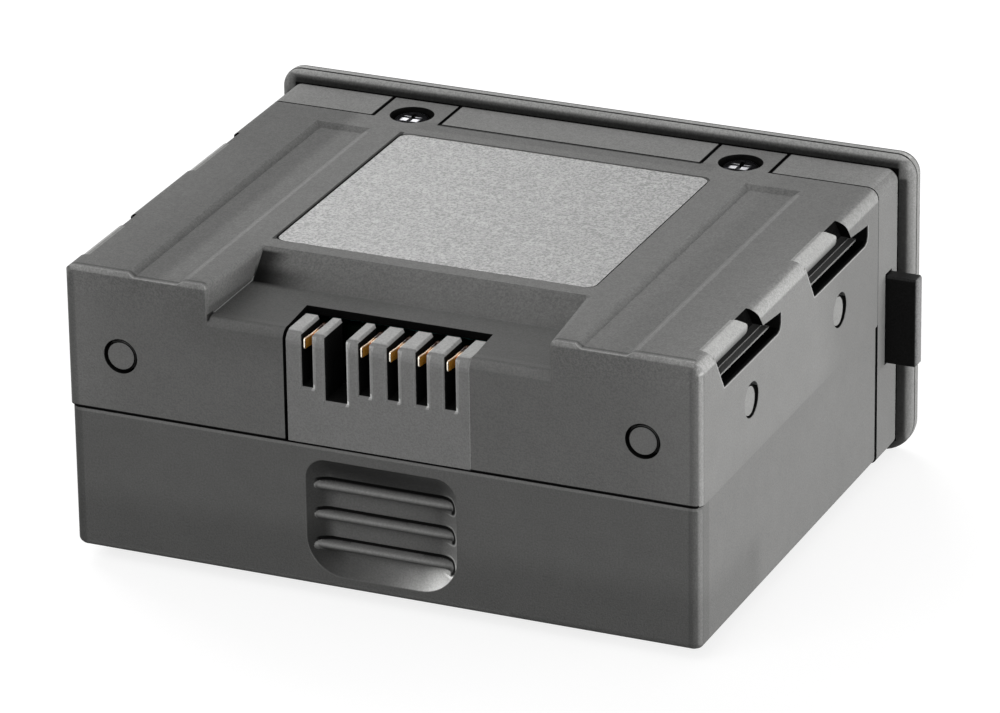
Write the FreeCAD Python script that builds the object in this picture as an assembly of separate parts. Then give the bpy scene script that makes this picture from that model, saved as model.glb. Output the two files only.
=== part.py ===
import FreeCAD, Part
import os

# Rechargeable pack that slides into a flash unit: a two-part case closed by an end cover with a lip.
# Millimetres, +Z up, +X to the right when facing the contact end.
# The pieces are drawn from the contact face (y = 0) and moved so that the origin is mid-base.
os.makedirs("parts", exist_ok=True)
Vector = FreeCAD.Vector

# Case
case_width = 100.0
case_height = 45.0
body_depth = 70.7            # contact face to the cover seam
seam_height = 22.8           # base to the joint between the case halves
wall = 2.0
corner_radius = 1.5          # upright corners at the contact end
edge_radius = 1.8            # long top edges
front_radius = 0.6           # top edge at the contact face
base_radius = 1.2            # base edges
lower_inset = 0.25           # the lower half stands back at the seam
seam_gap = 0.3               # shadow line round each seam
seam_gap_depth = 0.7

# End cover and its lip
skirt_depth = 9.1            # cover seam to the foot of the lip
lip_depth = 3.6
lip_side = 2.4               # how far the lip stands out at each side
lip_top = 1.8
lip_drop = 2.0
lip_top_radius = 3.2
lip_low_radius = 5.5
lip_round = 1.4
lip_groove = 0.25            # width of the two fine grooves in the lip
lip_groove_depth = 0.4
lip_groove_place = 1.05      # from each face of the lip to its groove
foot_groove = 0.8            # width of the groove along the foot of the lip
foot_groove_depth = 1.2

# Channels in the top
channel_inner = 30.7         # half spacing of the inner edges
channel_outer = 39.6
channel_slope = 1.0
channel_depth = 0.65
channel_margin = 5.1         # end of the channel to the cover seam

# Contact recess between the channels
recess_front_half = 27.1
recess_back_half = 25.5
recess_depth = 17.1          # contact face to the top of the sloping back
recess_foot = 13.0           # contact face to the foot of the sloping back
recess_height = 5.0          # case top down to the floor at its front edge
recess_rise = 1.0            # the floor climbs by this much to the foot of the slope
recess_round = 2.3           # length of the rounded front edge
recess_drop = 1.3            # height of the rounded front edge
recess_wall = 1.1
recess_edge = 0.9            # rounded upper edge of its sides

# Contact comb
comb_half = 14.35
comb_drop = 0.1              # fin tops below the recess floor
comb_fin_depth = 7.2
comb_depth = 8.1
comb_gap = 0.5               # at the comb's left side
comb_close = 0.15            # at its right side
comb_back_gap = 0.3
comb_flange = 2.2            # how far the comb reaches behind the case wall
comb_flange_thick = 1.8
comb_flange_room = 4.1       # top of that part below the recess's wall
slot_pitch = 4.5
slot_width = 1.7
slot_height = 8.4            # fin tops down to the floor of a slot
lead_depth = 0.5             # sloped lead-in at the mouth of a slot
lead_right = 0.75
lead_left = 0.2
lead_low = 0.3
fin_bevel = 0.35             # upper edges of the fins
fin_back = 0.5               # upright edges at their back
key_width = 3.4
key_height = 10.1
contact_places = (-2.5, -0.5, 0.5, 1.5, 2.5)
key_place = -1.5

# Forked contacts
leaf_thick = 0.3
leaf_height = 1.65
leaf_top_gap = 0.95          # leaves below the top of the fins
leaf_front = 1.0             # behind the contact face
leaf_pinch = 0.22            # half gap between the leaves
leaf_nose = 0.3              # sloped corners of their tips
stem_depth = 1.1
stem_width = 0.8
tail_height = 1.0

# Side notches for the bay's hooks
notch_start = 8.85           # contact face to the first notch's sill
notch_margin = 4.25          # end of the second notch to the cover seam
notch_height = 7.15          # case top down to the sill
notch_length = 22.1
notch_round = 1.2            # far lower corner of the notch
notch_roof = 3.5             # roof thickness at its near end
notch_tip = 4.2              # roof thickness at its far end
notch_roof_start = 15.0      # from the start of the sill
notch_mouth_start = 4.4      # the mouth begins this far ahead of the sill
notch_mouth_end = 12.3
notch_groove = 3.0           # depth of the notch from the side face
notch_skin = 0.6             # thin sill at the side face
notch_drop = 1.4             # the undercut's floor is this far below the sill
notch_wall = 1.0
bar_out = 0.25               # face of the bar in the mouth, behind the side face
bar_slope = 1.0              # height of the bar's sloped upper face
bar_deep = 2.3               # case top down to the bar's slanting underside
bar_foot = 5.2               # case top down to where the underside ends
bar_end = 9.3                # from the start of the sill to the bar's end at the side face
bar_slant = 3.5              # the bar's end slants by this much over the notch's depth
mouth_depth = 1.6            # the mouth is this deep above the roof line
ledge_out = 1.1              # thin ledge on the back wall of the notch
ledge_thick = 0.3
ledge_height = 0.45          # its top above the sill

# Snap studs that hold the case halves together
stud_radius = 2.3
stud_hole_radius = 2.72
stud_front_half = 41.1
stud_place = 10.25           # from the start of each notch's sill
stud_room = 0.75             # tongue's end below the notch's wall
stud_recess = 0.2            # stud face below the case's outer face
stud_shift = 0.25            # the side holes leave more room behind their studs
tongue_width = 7.6
tongue_thick = 1.3
tongue_gap = 0.15
tongue_rise = 3.0            # above the stud's centre
tongue_root = 5.0            # below the seam

# Screw pads of the upper case and their screws
pad_inner = 21.8
pad_outer = 32.3
pad_margin = 0.9             # end of the pad to the foot of the lip
pad_thick = 3.4
pad_gap = 0.55
screw_place = 2.4            # cover seam to the screw's axis
screw_radius = 1.5
screw_clear = 0.15
screw_head_radius = 2.75
screw_head_height = 1.7
screw_length = 5.5           # under the head
screw_bore_radius = 3.45
screw_bore_depth = 2.2
cross_width = 0.7
cross_length = 3.2
cross_depth = 1.0
boss_height = 5.0

# Thumb grip in the lower case, a dish with half-round ribs
grip_half = 12.0
grip_low = 2.0
grip_margin = 2.4            # upper edge below the seam
grip_depth = 2.2
grip_slope = 3.4             # width of the dish's curved rim
grip_rings = 5
grip_top_radius = 3.3
grip_low_radius = 6.0
grip_ribs = 3
grip_rib_start = 4.75        # upper edge down to the first rib
grip_rib_pitch = 4.7
grip_rib_half = 10.9
grip_rib_radius = 0.6
grip_rib_back = 1.1          # crest of the ribs behind the lower case's face
grip_groove = 0.45           # groove round each rib
grip_groove_depth = 0.8      # below the floor of the dish
grip_wall = 1.2

# Label
label_half = 25.2
label_start = 20.0
label_margin = 5.2           # end of the label to the cover seam
label_thick = 0.25
label_recess = 0.35
label_gap = 0.3
label_radius = 1.6

# Sprung latch in the right side of the cover
latch_out = 5.1              # how far it stands out of the side
latch_place = 3.7            # cover seam to the latch's near face
latch_thick = 2.2
latch_low = 15.4
latch_high = 29.6
latch_gap = 0.3
latch_collar = 1.6           # the collar that stops it is wider than the tab by this much
latch_collar_thick = 3.2
latch_round = 0.6
guide_wall = 1.0
guide_length = 13.0
keeper_thick = 1.2
spring_wire = 0.5
spring_radius = 1.9
spring_turns = 4.0
spring_pin_radius = 1.2
spring_pin_length = 1.4

# Cells, laid across the pack in two layers of three
side_room = 15.5             # side wall to the cell ends, for links, leads and the latch
cover_room = 0.15            # cell holders to the cover seam
recess_room = 0.2            # cell holders to the recess's wall
cell_gap = 0.3
cell_button_radius = 3.0
cell_button_height = 0.7
cell_crimp = 0.5
cell_crimp_place = 3.0
cell_rows = 3
cell_layers = 2
holder_depth = 6.0
holder_web = 1.0
holder_margin = 0.4
holder_window = 5.5
cell_clear = 0.12

# Links welded across the cell ends
link_thick = 0.3
link_half_width = 4.0
link_dimple = 2.4
lead_radius = 0.9
sheet_thick = 0.3
sheet_slot = 1.0
foam_half = 20.0             # foam between the cells and the top

# Protection board
board_half = 38.0
board_thick = 1.6
board_gap = 0.4              # behind the comb
board_top_gap = 0.5
board_rail = 1.2
board_rail_length = 5.0
board_rail_height = 6.0
board_clear = 0.1
transistor_size = 6.0
transistor_thick = 1.6
transistor_places = (-24.0, -8.0, 8.0, 24.0)
transistor_height = 10.0
chip_size = 9.0
chip_thick = 1.2
chip_height = 28.0

# Derived places
half_width = case_width / 2
lip_foot = body_depth + skirt_depth
case_depth = lip_foot + lip_depth
roof_under = case_height - channel_depth - wall
side_inside = half_width - wall
end_inside = case_depth - wall
recess_floor = case_height - recess_height
recess_back_floor = recess_floor + recess_rise
recess_under = recess_floor - recess_wall
comb_top = recess_floor - comb_drop
slot_floor = comb_top - slot_height
key_floor = comb_top - key_height
comb_back = comb_depth + comb_back_gap
channel_end = body_depth - channel_margin
label_end = body_depth - label_margin
notch_sill = case_height - notch_height
notch_pitch = body_depth - notch_margin - notch_length - notch_start
notch_floor = notch_sill - notch_drop
notch_low = notch_floor - notch_wall
stud_height = notch_low - stud_room - tongue_rise
pad_length = skirt_depth - pad_margin
grip_high = seam_height - grip_margin
board_front = comb_depth + board_gap
board_back = board_front + board_thick
holder_front = recess_foot + recess_wall + cover_room
holder_back = body_depth - cover_room
holder_top = recess_back_floor - recess_wall - recess_room
row_room = holder_back - holder_front - 2 * holder_margin
layer_room = holder_top - wall - 2 * holder_margin
row_radius = (row_room - (cell_rows - 1) * cell_gap) / (2 * cell_rows)
layer_radius = (layer_room - (cell_layers - 1) * cell_gap) / (2 * cell_layers)
cell_radius = min(row_radius, layer_radius)
cell_pitch = 2 * cell_radius + cell_gap
cell_first = holder_front + holder_margin + cell_radius
cell_low = wall + holder_margin + cell_radius
cell_high = cell_low + (cell_layers - 1) * cell_pitch
cell_half = side_inside - side_room
cell_length = 2 * cell_half
link_face = cell_half + holder_web
sheet_face = link_face + link_thick
past = 1.0                   # how far cutters run past a face


def box(x0, y0, z0, x1, y1, z1):
    corner = Vector(min(x0, x1), min(y0, y1), min(z0, z1))
    return Part.makeBox(abs(x1 - x0), abs(y1 - y0), abs(z1 - z0), corner)


def rod(radius, length, x, y, z, axis):
    return Part.makeCylinder(radius, length, Vector(x, y, z), axis)


def prism(points, sweep):
    wire = Part.makePolygon([Vector(*p) for p in points + points[:1]])
    return Part.Face(wire).extrude(sweep)


def outline(half, low, high, low_radius, high_radius, y):
    # Upright outline with its own corner radius at the bottom and at the top
    turn = 2 ** -0.5
    points = []
    for x_sign, z, z_sign, radius in (
        (1, low, -1, low_radius),
        (1, high, 1, high_radius),
        (-1, high, 1, high_radius),
        (-1, low, -1, low_radius),
    ):
        centre_x = x_sign * (half - radius)
        centre_z = z - z_sign * radius
        side = Vector(x_sign * half, y, centre_z)
        middle = Vector(centre_x + x_sign * radius * turn, y, centre_z + z_sign * radius * turn)
        level = Vector(centre_x, y, z)
        points.append((level, middle, side) if x_sign == z_sign * -1 else (side, middle, level))
    edges = []
    for index, (start, middle, end) in enumerate(points):
        edges.append(Part.Arc(start, middle, end).toShape())
        edges.append(Part.makeLine(end, points[(index + 1) % len(points)][0]))
    return Part.Wire(edges)


def rounded(half, low, high, low_radius, high_radius, y0, y1):
    # The same outline carried along Y
    wire = outline(half, low, high, low_radius, high_radius, y0)
    return Part.Face(wire).extrude(Vector(0, y1 - y0, 0))


def plan(half, radius, y0, y1, z0, z1):
    # Flat outline with rounded corners at the y0 end, carried up along Z
    turn = radius * (1 - 2 ** -0.5)
    right_arc = Part.Arc(
        Vector(half - radius, y0, z0),
        Vector(half - turn, y0 + turn, z0),
        Vector(half, y0 + radius, z0),
    )
    left_arc = Part.Arc(
        Vector(-half, y0 + radius, z0),
        Vector(-half + turn, y0 + turn, z0),
        Vector(-half + radius, y0, z0),
    )
    edges = [
        right_arc.toShape(),
        Part.makeLine(Vector(half, y0 + radius, z0), Vector(half, y1, z0)),
        Part.makeLine(Vector(half, y1, z0), Vector(-half, y1, z0)),
        Part.makeLine(Vector(-half, y1, z0), Vector(-half, y0 + radius, z0)),
        left_arc.toShape(),
        Part.makeLine(Vector(-half + radius, y0, z0), Vector(half - radius, y0, z0)),
    ]
    return Part.Face(Part.Wire(edges)).extrude(Vector(0, 0, z1 - z0))


def fuse(shapes):
    return shapes[0].multiFuse(shapes[1:]).removeSplitter()


def cut(shape, cutters):
    return shape.cut(Part.makeCompound(cutters)) if len(cutters) == 1 else shape.cut(fuse(cutters))


def mirrored(shape):
    return shape.mirror(Vector(0, 0, 0), Vector(1, 0, 0))


def both_sides(shapes):
    return shapes + [mirrored(shape) for shape in shapes]


def save(name, shape):
    moved = shape.translated(Vector(0, -case_depth / 2, 0))
    moved.exportStep("parts/" + name + ".step")


def front_round(height, half, run, drop):
    # Cutter that leaves a rounded edge between the contact face and a floor at the given height
    low = height - drop
    middle = Vector(-half, run * 0.28, height - drop * 0.28)
    start = Vector(-half, 0, low)
    end = Vector(-half, run, height)
    edges = [
        Part.Arc(start, middle, end).toShape(),
        Part.makeLine(end, end + Vector(0, 0, past)),
        Part.makeLine(end + Vector(0, 0, past), Vector(-half, -past, height + past)),
        Part.makeLine(Vector(-half, -past, height + past), Vector(-half, -past, low)),
        Part.makeLine(Vector(-half, -past, low), start),
    ]
    return Part.Face(Part.Wire(edges)).extrude(Vector(2 * half, 0, 0))


def recess_cutter():
    # Tapering recess with a gently climbing floor and a sloping back
    half = recess_front_half + past
    top = case_height + past
    profile = [
        (-half, -past, recess_floor),
        (-half, recess_round, recess_floor),
        (-half, recess_foot, recess_back_floor),
        (-half, recess_depth, case_height),
        (-half, recess_depth, top),
        (-half, -past, top),
    ]
    sides = [
        (-recess_front_half, -past, 0),
        (recess_front_half, -past, 0),
        (recess_front_half, 0, 0),
        (recess_back_half, recess_depth, 0),
        (-recess_back_half, recess_depth, 0),
        (-recess_front_half, 0, 0),
    ]
    along = prism(profile, Vector(2 * half, 0, 0))
    along = along.fuse(front_round(recess_floor, half, recess_round, recess_drop))
    return along.common(prism(sides, Vector(0, 0, top)))


def recess_edge_cutter():
    # Wedge that opens upwards in two steps and so rounds the upper edges of the recess's sides
    wires = []
    for drop, spread in ((recess_edge, 0), (recess_edge / 4, recess_edge / 4), (0, recess_edge)):
        corners = [
            Vector(-recess_front_half - spread, -past, case_height - drop),
            Vector(recess_front_half + spread, -past, case_height - drop),
            Vector(recess_back_half + spread, recess_depth - recess_edge + spread, case_height - drop),
            Vector(-recess_back_half - spread, recess_depth - recess_edge + spread, case_height - drop),
        ]
        wires.append(Part.makePolygon(corners + corners[:1]))
    return Part.makeLoft(wires, True, True)


def recess_tub():
    # Wall under the recess, one wall thickness below its floor and behind its slope
    half = recess_front_half + recess_wall
    ceiling = case_height - wall / 2
    profile = [
        (-half, wall / 2, recess_under),
        (-half, recess_round, recess_under),
        (-half, recess_foot + recess_wall, recess_back_floor - recess_wall),
        (-half, recess_depth + 2 * recess_wall, ceiling),
        (-half, wall / 2, ceiling),
    ]
    return prism(profile, Vector(2 * half, 0, 0))


def mouth_bar(start, y0):
    # Sloped bar in the mouth of a notch, with a slanting underside and a slanting far end
    root_x = half_width - notch_groove - notch_wall / 2
    face_x = half_width - bar_out
    end = start + bar_end
    profile = [
        (root_x, y0, case_height),
        (half_width - mouth_depth, y0, case_height),
        (face_x, y0, case_height - bar_slope),
        (face_x, y0, case_height - bar_deep),
        (root_x, y0, case_height - bar_foot),
    ]
    plan_points = [
        (root_x, y0, 0),
        (half_width, y0, 0),
        (half_width, end, 0),
        (root_x, end - bar_slant, 0),
    ]
    length = Vector(0, end - y0, 0)
    return prism(profile, length).common(prism(plan_points, Vector(0, 0, case_height)))


def notch_tools(start):
    # L-shaped side notch: its cutters and the thick wall behind it, for the right side
    sill_end = start + notch_length
    mouth_end = start + notch_mouth_end
    mouth_start = start - notch_mouth_start
    bend = notch_round * (1 - 2 ** -0.5)
    top = case_height + past
    outline_points = [
        (start, notch_sill),
        (sill_end - notch_round, notch_sill),
        (sill_end - bend, notch_sill + bend),
        (sill_end, notch_sill + notch_round),
        (sill_end, case_height - notch_tip),
        (start + notch_roof_start, case_height - notch_roof),
        (mouth_end, case_height),
        (mouth_end, top),
        (mouth_start, top),
        (mouth_start, case_height),
    ]
    groove_x = half_width - notch_groove
    skin_x = half_width - notch_skin
    window = prism([(groove_x, y, z) for y, z in outline_points], Vector(notch_groove + past, 0, 0))
    slot = box(groove_x, start, notch_floor, skin_x, sill_end, notch_sill + ledge_height)
    ledge_top = notch_sill + ledge_height
    ledge = box(groove_x, start, ledge_top - ledge_thick, groove_x + ledge_out, sill_end, ledge_top)
    cheek = box(
        groove_x - notch_wall / 2,
        mouth_start - past,
        case_height - notch_roof,
        half_width - mouth_depth,
        start + notch_roof_start,
        case_height,
    )
    kept = fuse([mouth_bar(start, mouth_start - past), cheek, ledge])
    backing = box(
        groove_x - notch_wall,
        mouth_start - notch_wall,
        notch_low,
        half_width - corner_radius,
        sill_end + notch_wall,
        roof_under + past,
    )
    return [window.cut(kept), slot.cut(ledge)], backing


def channel_cutter():
    # Shallow channel with sloping sides and a sloping far end, for the right side
    low = case_height - channel_depth
    run = channel_end - channel_slope
    wide = [
        (channel_inner, 0, case_height),
        (channel_inner + channel_slope, 0, low),
        (channel_outer - channel_slope, 0, low),
        (channel_outer, 0, case_height),
    ]
    lifted = [(channel_outer, 0, case_height + past), (channel_inner, 0, case_height + past)]
    front = prism([(x, -past, z) for x, _, z in wide + lifted], Vector(0, run + past, 0))
    profile = [(run, case_height), (run, low), (channel_end, case_height)]
    width = Vector(channel_outer - channel_inner, 0, 0)
    slope = prism([(channel_inner, y, z) for y, z in profile], width)
    sides = prism([(x, run, z) for x, _, z in wide + lifted], Vector(0, channel_slope, 0))
    return front.fuse(sides.common(slope))


def stud_axes():
    # Each stud: a point on the outer face, the inward direction and the tongue's direction of width
    places = [(Vector(sign * stud_front_half, 0, stud_height), Vector(0, 1, 0)) for sign in (1, -1)]
    for index in range(2):
        y = notch_start + stud_place + index * notch_pitch
        places.append((Vector(half_width, y, stud_height), Vector(-1, 0, 0)))
        places.append((Vector(-half_width, y, stud_height), Vector(1, 0, 0)))
    return places


def screw_spots():
    middle = (pad_inner + pad_outer) / 2
    return [(sign * middle, body_depth + screw_place) for sign in (1, -1)]


def make_upper_case():
    block = plan(half_width, corner_radius, 0, body_depth, seam_height, case_height)
    far_below = seam_height - case_height
    round_top = rounded(half_width, far_below, case_height, edge_radius, edge_radius, 0, body_depth)
    block = block.common(round_top)
    hollow = box(-side_inside, wall, seam_height - past, side_inside, body_depth + past, roof_under)
    inside = [recess_tub()]
    cutters = []
    for index in range(2):
        tools, backing = notch_tools(notch_start + index * notch_pitch)
        inside += both_sides([backing])
        cutters += both_sides(tools)
    pad = box(pad_inner, body_depth - pad_length, case_height - pad_thick, pad_outer,
              body_depth + pad_length, case_height)
    shell = fuse([block.cut(hollow)] + [piece.common(block) for piece in inside] + both_sides([pad]))

    cutters.append(front_round(case_height, half_width, front_radius, front_radius))
    cutters.append(recess_cutter())
    left = -comb_half - comb_gap
    right = comb_half + comb_close
    cutters.append(box(left, -past, seam_height - past, right, comb_back, recess_back_floor + past))
    cutters += both_sides([channel_cutter()])
    label_bed = rounded_plate(label_half + label_gap, label_start - label_gap, label_end + label_gap,
                              label_radius, case_height - label_recess, case_height + past)
    cutters.append(label_bed)
    for point, inward in stud_axes():
        hole = point + Vector(0, stud_shift * abs(inward.x), 0) - inward * past
        cutters.append(Part.makeCylinder(stud_hole_radius, wall + 2 * past, hole, inward))
    down = Vector(0, 0, -1)
    for x, y in screw_spots():
        cutters.append(rod(screw_bore_radius, screw_bore_depth + past, x, y, case_height + past, down))
        cutters.append(rod(screw_radius + screw_clear, pad_thick + past, x, y, case_height, down))
    return cut(shell, cutters).cut(recess_edge_cutter())


def rounded_plate(half, y0, y1, radius, z0, z1):
    # Flat plate with four rounded corners
    flat = rounded(half, y0, y1, radius, radius, 0, z1 - z0)
    flat.rotate(Vector(0, 0, 0), Vector(1, 0, 0), -90)
    flat = flat.mirror(Vector(0, 0, 0), Vector(0, 1, 0))
    low = flat.BoundBox
    return flat.translated(Vector(0, y0 - low.YMin, z0 - low.ZMin))


def make_lower_case():
    outer = half_width - lower_inset
    front = lower_inset
    step = seam_height - seam_gap
    lower = plan(outer, corner_radius, front, body_depth, 0, step)
    far_above = seam_height + case_height
    lower = lower.common(rounded(outer, 0, far_above, base_radius, base_radius, front, body_depth))
    near = front + past / 2
    near_edges = [e for e in lower.Edges if e.BoundBox.ZMax < past / 2 and e.BoundBox.YMax < near]
    lower = lower.makeFillet(base_radius, near_edges)
    rim_inset = lower_inset + seam_gap_depth
    rim = plan(half_width - rim_inset, corner_radius, rim_inset, body_depth, step, seam_height)
    hollow = box(-outer + wall, front + wall, wall, outer - wall, body_depth + past, seam_height + past)
    grip_deep = front + grip_depth + grip_groove_depth
    grip_back = box(-grip_half - grip_wall, front + wall / 2, wall / 2, grip_half + grip_wall,
                    grip_deep + grip_wall, seam_height - past)
    rails = []
    rail_top = wall + board_rail_height
    for x in (board_half - board_rail_length, -board_half):
        for y in (board_front - board_clear - board_rail, board_back + board_clear):
            rails.append(box(x, y, wall / 2, x + board_rail_length, y + board_rail, rail_top))
    tongues = [tongue(*spot) for spot in stud_axes()]
    shell = fuse([lower.fuse(rim).cut(hollow), grip_back] + rails + tongues)
    grooves, ribs = grip_ribs_and_grooves(front, grip_deep)
    return cut(shell, [grip_dish(front)] + grooves).multiFuse(ribs)


def grip_dish(front):
    # Dish whose rim curves in like a parabola, open to the front
    wires = []
    for ring in range(grip_rings + 1):
        step = ring / grip_rings
        inset = grip_slope * step
        low_radius = grip_low_radius - inset * 0.9
        top_radius = grip_top_radius - inset * 0.9
        low = grip_low + inset
        high = grip_high - inset
        y = front + grip_depth * step * (2 - step)
        wires.append(outline(grip_half - inset, low, high, low_radius, top_radius, y))
    mouth = rounded(grip_half, grip_low, grip_high, grip_low_radius, grip_top_radius, front - past, front)
    return mouth.fuse(Part.makeLoft(wires, True, True))


def grip_ribs_and_grooves(front, deep):
    grooves = []
    ribs = []
    crest = front + grip_rib_back + grip_rib_radius
    reach = grip_rib_half - grip_rib_radius
    wide = grip_rib_radius + grip_groove
    for index in range(grip_ribs):
        z = grip_high - grip_rib_start - index * grip_rib_pitch
        bend = wide * 0.95
        grooves.append(rounded(grip_rib_half + grip_groove, z - wide, z + wide, bend, bend, crest, deep))
        bend = grip_rib_radius * 0.95
        low = z - grip_rib_radius
        high = z + grip_rib_radius
        body = rounded(grip_rib_half, low, high, bend, bend, crest, deep + grip_wall / 2)
        ends = [Part.makeSphere(grip_rib_radius, Vector(sign * reach, crest, z)) for sign in (1, -1)]
        round_top = rod(grip_rib_radius, 2 * reach, -reach, crest, z, Vector(1, 0, 0))
        ribs.append(fuse([body, round_top] + ends))
    return grooves, ribs


def tongue(point, inward):
    # Springy tongue of the lower case behind the upper case's wall, with its round stud
    along = Vector(inward.y, inward.x, 0)
    back = wall + tongue_gap
    low = seam_height - tongue_root
    high = point.z + tongue_rise
    start = point + inward * back - along * (tongue_width / 2)
    start.z = low
    near = start
    far = start + inward * tongue_thick + along * tongue_width
    blade = box(near.x, near.y, low, far.x, far.y, high)
    root_start = point + inward * (lower_inset + wall / 2) - along * (tongue_width / 2)
    root = box(root_start.x, root_start.y, low, far.x, far.y, seam_height - seam_gap)
    stud_length = back + tongue_thick / 2 - stud_recess
    stud = Part.makeCylinder(stud_radius, stud_length, point + inward * stud_recess, inward)
    return fuse([blade, root, stud])


def make_end_cover():
    top_radius = edge_radius
    joint = body_depth + seam_gap
    groove_half = half_width - seam_gap_depth
    neck = rounded(groove_half, seam_gap_depth, case_height - seam_gap_depth, base_radius, top_radius,
                   body_depth, joint)
    skirt = rounded(half_width, 0, case_height, base_radius, top_radius, joint, lip_foot)
    lip = rounded(half_width + lip_side, -lip_drop, case_height + lip_top, lip_low_radius, lip_top_radius,
                  lip_foot, case_depth)
    lip = lip.makeFillet(lip_round, [e for e in lip.Edges if e.BoundBox.YLength < past / 100])
    for y in (lip_foot + lip_groove_place, case_depth - lip_groove_place - lip_groove):
        outer = rounded(half_width + lip_side + past, -lip_drop - past, case_height + lip_top + past,
                        lip_low_radius, lip_top_radius, y, y + lip_groove)
        inner = rounded(half_width + lip_side - lip_groove_depth, lip_groove_depth - lip_drop,
                        case_height + lip_top - lip_groove_depth, lip_low_radius - lip_groove_depth,
                        lip_top_radius - lip_groove_depth, y, y + lip_groove)
        lip = lip.cut(outer.cut(inner))
    ceiling = case_height - wall
    hollow = rounded(side_inside, wall, ceiling, base_radius, base_radius, body_depth - past, end_inside)
    ring_start = lip_foot - foot_groove
    above = case_height + past
    ring = rounded(half_width + past, -past, above, base_radius, top_radius, ring_start, lip_foot)
    core = rounded(half_width - foot_groove_depth, foot_groove_depth, case_height - foot_groove_depth,
                   base_radius / 2, top_radius / 2, ring_start, lip_foot)
    cover = fuse([neck, skirt, lip]).cut(hollow).cut(ring.cut(core))

    additions = []
    pad_under = case_height - pad_thick
    for x, y in screw_spots():
        half = (pad_outer - pad_inner) / 2 - pad_gap
        foot = pad_under - boss_height
        additions.append(box(x - half, joint, foot, x + half, end_inside + past, pad_under))
    guide_x = side_inside - guide_length
    guide_near = body_depth + latch_place - latch_collar - latch_gap - guide_wall
    guide_low = latch_low - latch_collar - latch_gap - guide_wall
    guide_high = latch_high + latch_collar + latch_gap + guide_wall
    guide_end = side_inside + past
    guide_far = end_inside + past
    for z in (guide_low, guide_high - guide_wall):
        additions.append(box(guide_x, guide_near, z, guide_end, guide_far, z + guide_wall))
    additions.append(box(guide_x, guide_near, guide_low, guide_end, guide_near + guide_wall, guide_high))
    far_wall = body_depth + latch_place + latch_thick + latch_collar + latch_gap
    additions.append(box(guide_x, far_wall, guide_low, guide_end, guide_far, guide_high))
    cover = fuse([cover] + additions)

    cutters = []
    pad_cut = box(pad_inner - pad_gap, body_depth - past, pad_under, pad_outer + pad_gap,
                  body_depth + pad_length + pad_gap, case_height + past)
    cutters += both_sides([pad_cut])
    for x, y in screw_spots():
        depth = screw_length - pad_thick + screw_bore_depth
        cutters.append(rod(screw_radius, depth, x, y, pad_under, Vector(0, 0, -1)))
    near = body_depth + latch_place
    cutters.append(box(side_inside - past, near - latch_gap, latch_low - latch_gap, half_width + past,
                       near + latch_thick + latch_gap, latch_high + latch_gap))
    return cut(cover, cutters)


def make_latch():
    near = body_depth + latch_place
    far = near + latch_thick
    collar_face = side_inside - latch_gap
    tab = box(collar_face - latch_collar_thick, near, latch_low, half_width + latch_out, far, latch_high)
    outer = half_width + latch_out - past / 10
    tab = tab.makeFillet(latch_round, [e for e in tab.Edges if e.BoundBox.XMin > outer])
    inner = collar_face - latch_collar_thick
    low = latch_low - latch_collar
    collar = box(inner, near - latch_collar, low, collar_face, far + latch_collar, latch_high + latch_collar)
    middle_y = (near + far) / 2
    middle_z = (latch_low + latch_high) / 2
    pin = rod(spring_pin_radius, spring_pin_length, inner, middle_y, middle_z, Vector(-1, 0, 0))
    return fuse([tab, collar, pin])


def latch_spring_span():
    return side_inside - guide_length + keeper_thick, side_inside - latch_gap - latch_collar_thick


def make_latch_spring():
    start, end = latch_spring_span()
    length = end - start - spring_wire
    pitch = length / spring_turns
    helix = Part.makeHelix(pitch, length, spring_radius)
    ring = Part.Wire(Part.makeCircle(spring_wire / 2, Vector(spring_radius, 0, 0), Vector(0, 1, 0)))
    coil = Part.Wire(helix.Edges).makePipeShell([ring], True, True)
    coil.rotate(Vector(0, 0, 0), Vector(0, 1, 0), 90)
    middle_y = body_depth + latch_place + latch_thick / 2
    middle_z = (latch_low + latch_high) / 2
    return coil.translated(Vector(start + spring_wire / 2, middle_y, middle_z))


def make_latch_keeper():
    near = body_depth + latch_place - latch_collar
    far = body_depth + latch_place + latch_thick + latch_collar
    start = side_inside - guide_length
    low = latch_low - latch_collar
    high = latch_high + latch_collar
    return box(start, near, low, start + keeper_thick, far, high)


def make_contact_comb():
    base = box(-comb_half, 0, seam_height, comb_half, comb_depth, key_floor)
    fins = box(-comb_half, 0, seam_height, comb_half, comb_fin_depth, comb_top)
    reach = comb_half + comb_flange
    flange = box(-reach, wall + tongue_gap, seam_height, reach, wall + tongue_gap + comb_flange_thick,
                 recess_under - comb_flange_room)
    comb = fuse([base, fins, flange])
    cutters = [front_round(comb_top, comb_half + past, recess_round, recess_drop)]
    for place in contact_places:
        cutters.append(slot_cutter(place * slot_pitch, slot_width, slot_floor))
        cutters.append(stem_hole(place * slot_pitch))
    cutters.append(slot_cutter(key_place * slot_pitch, key_width, key_floor))
    return cut(comb, cutters)


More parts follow.
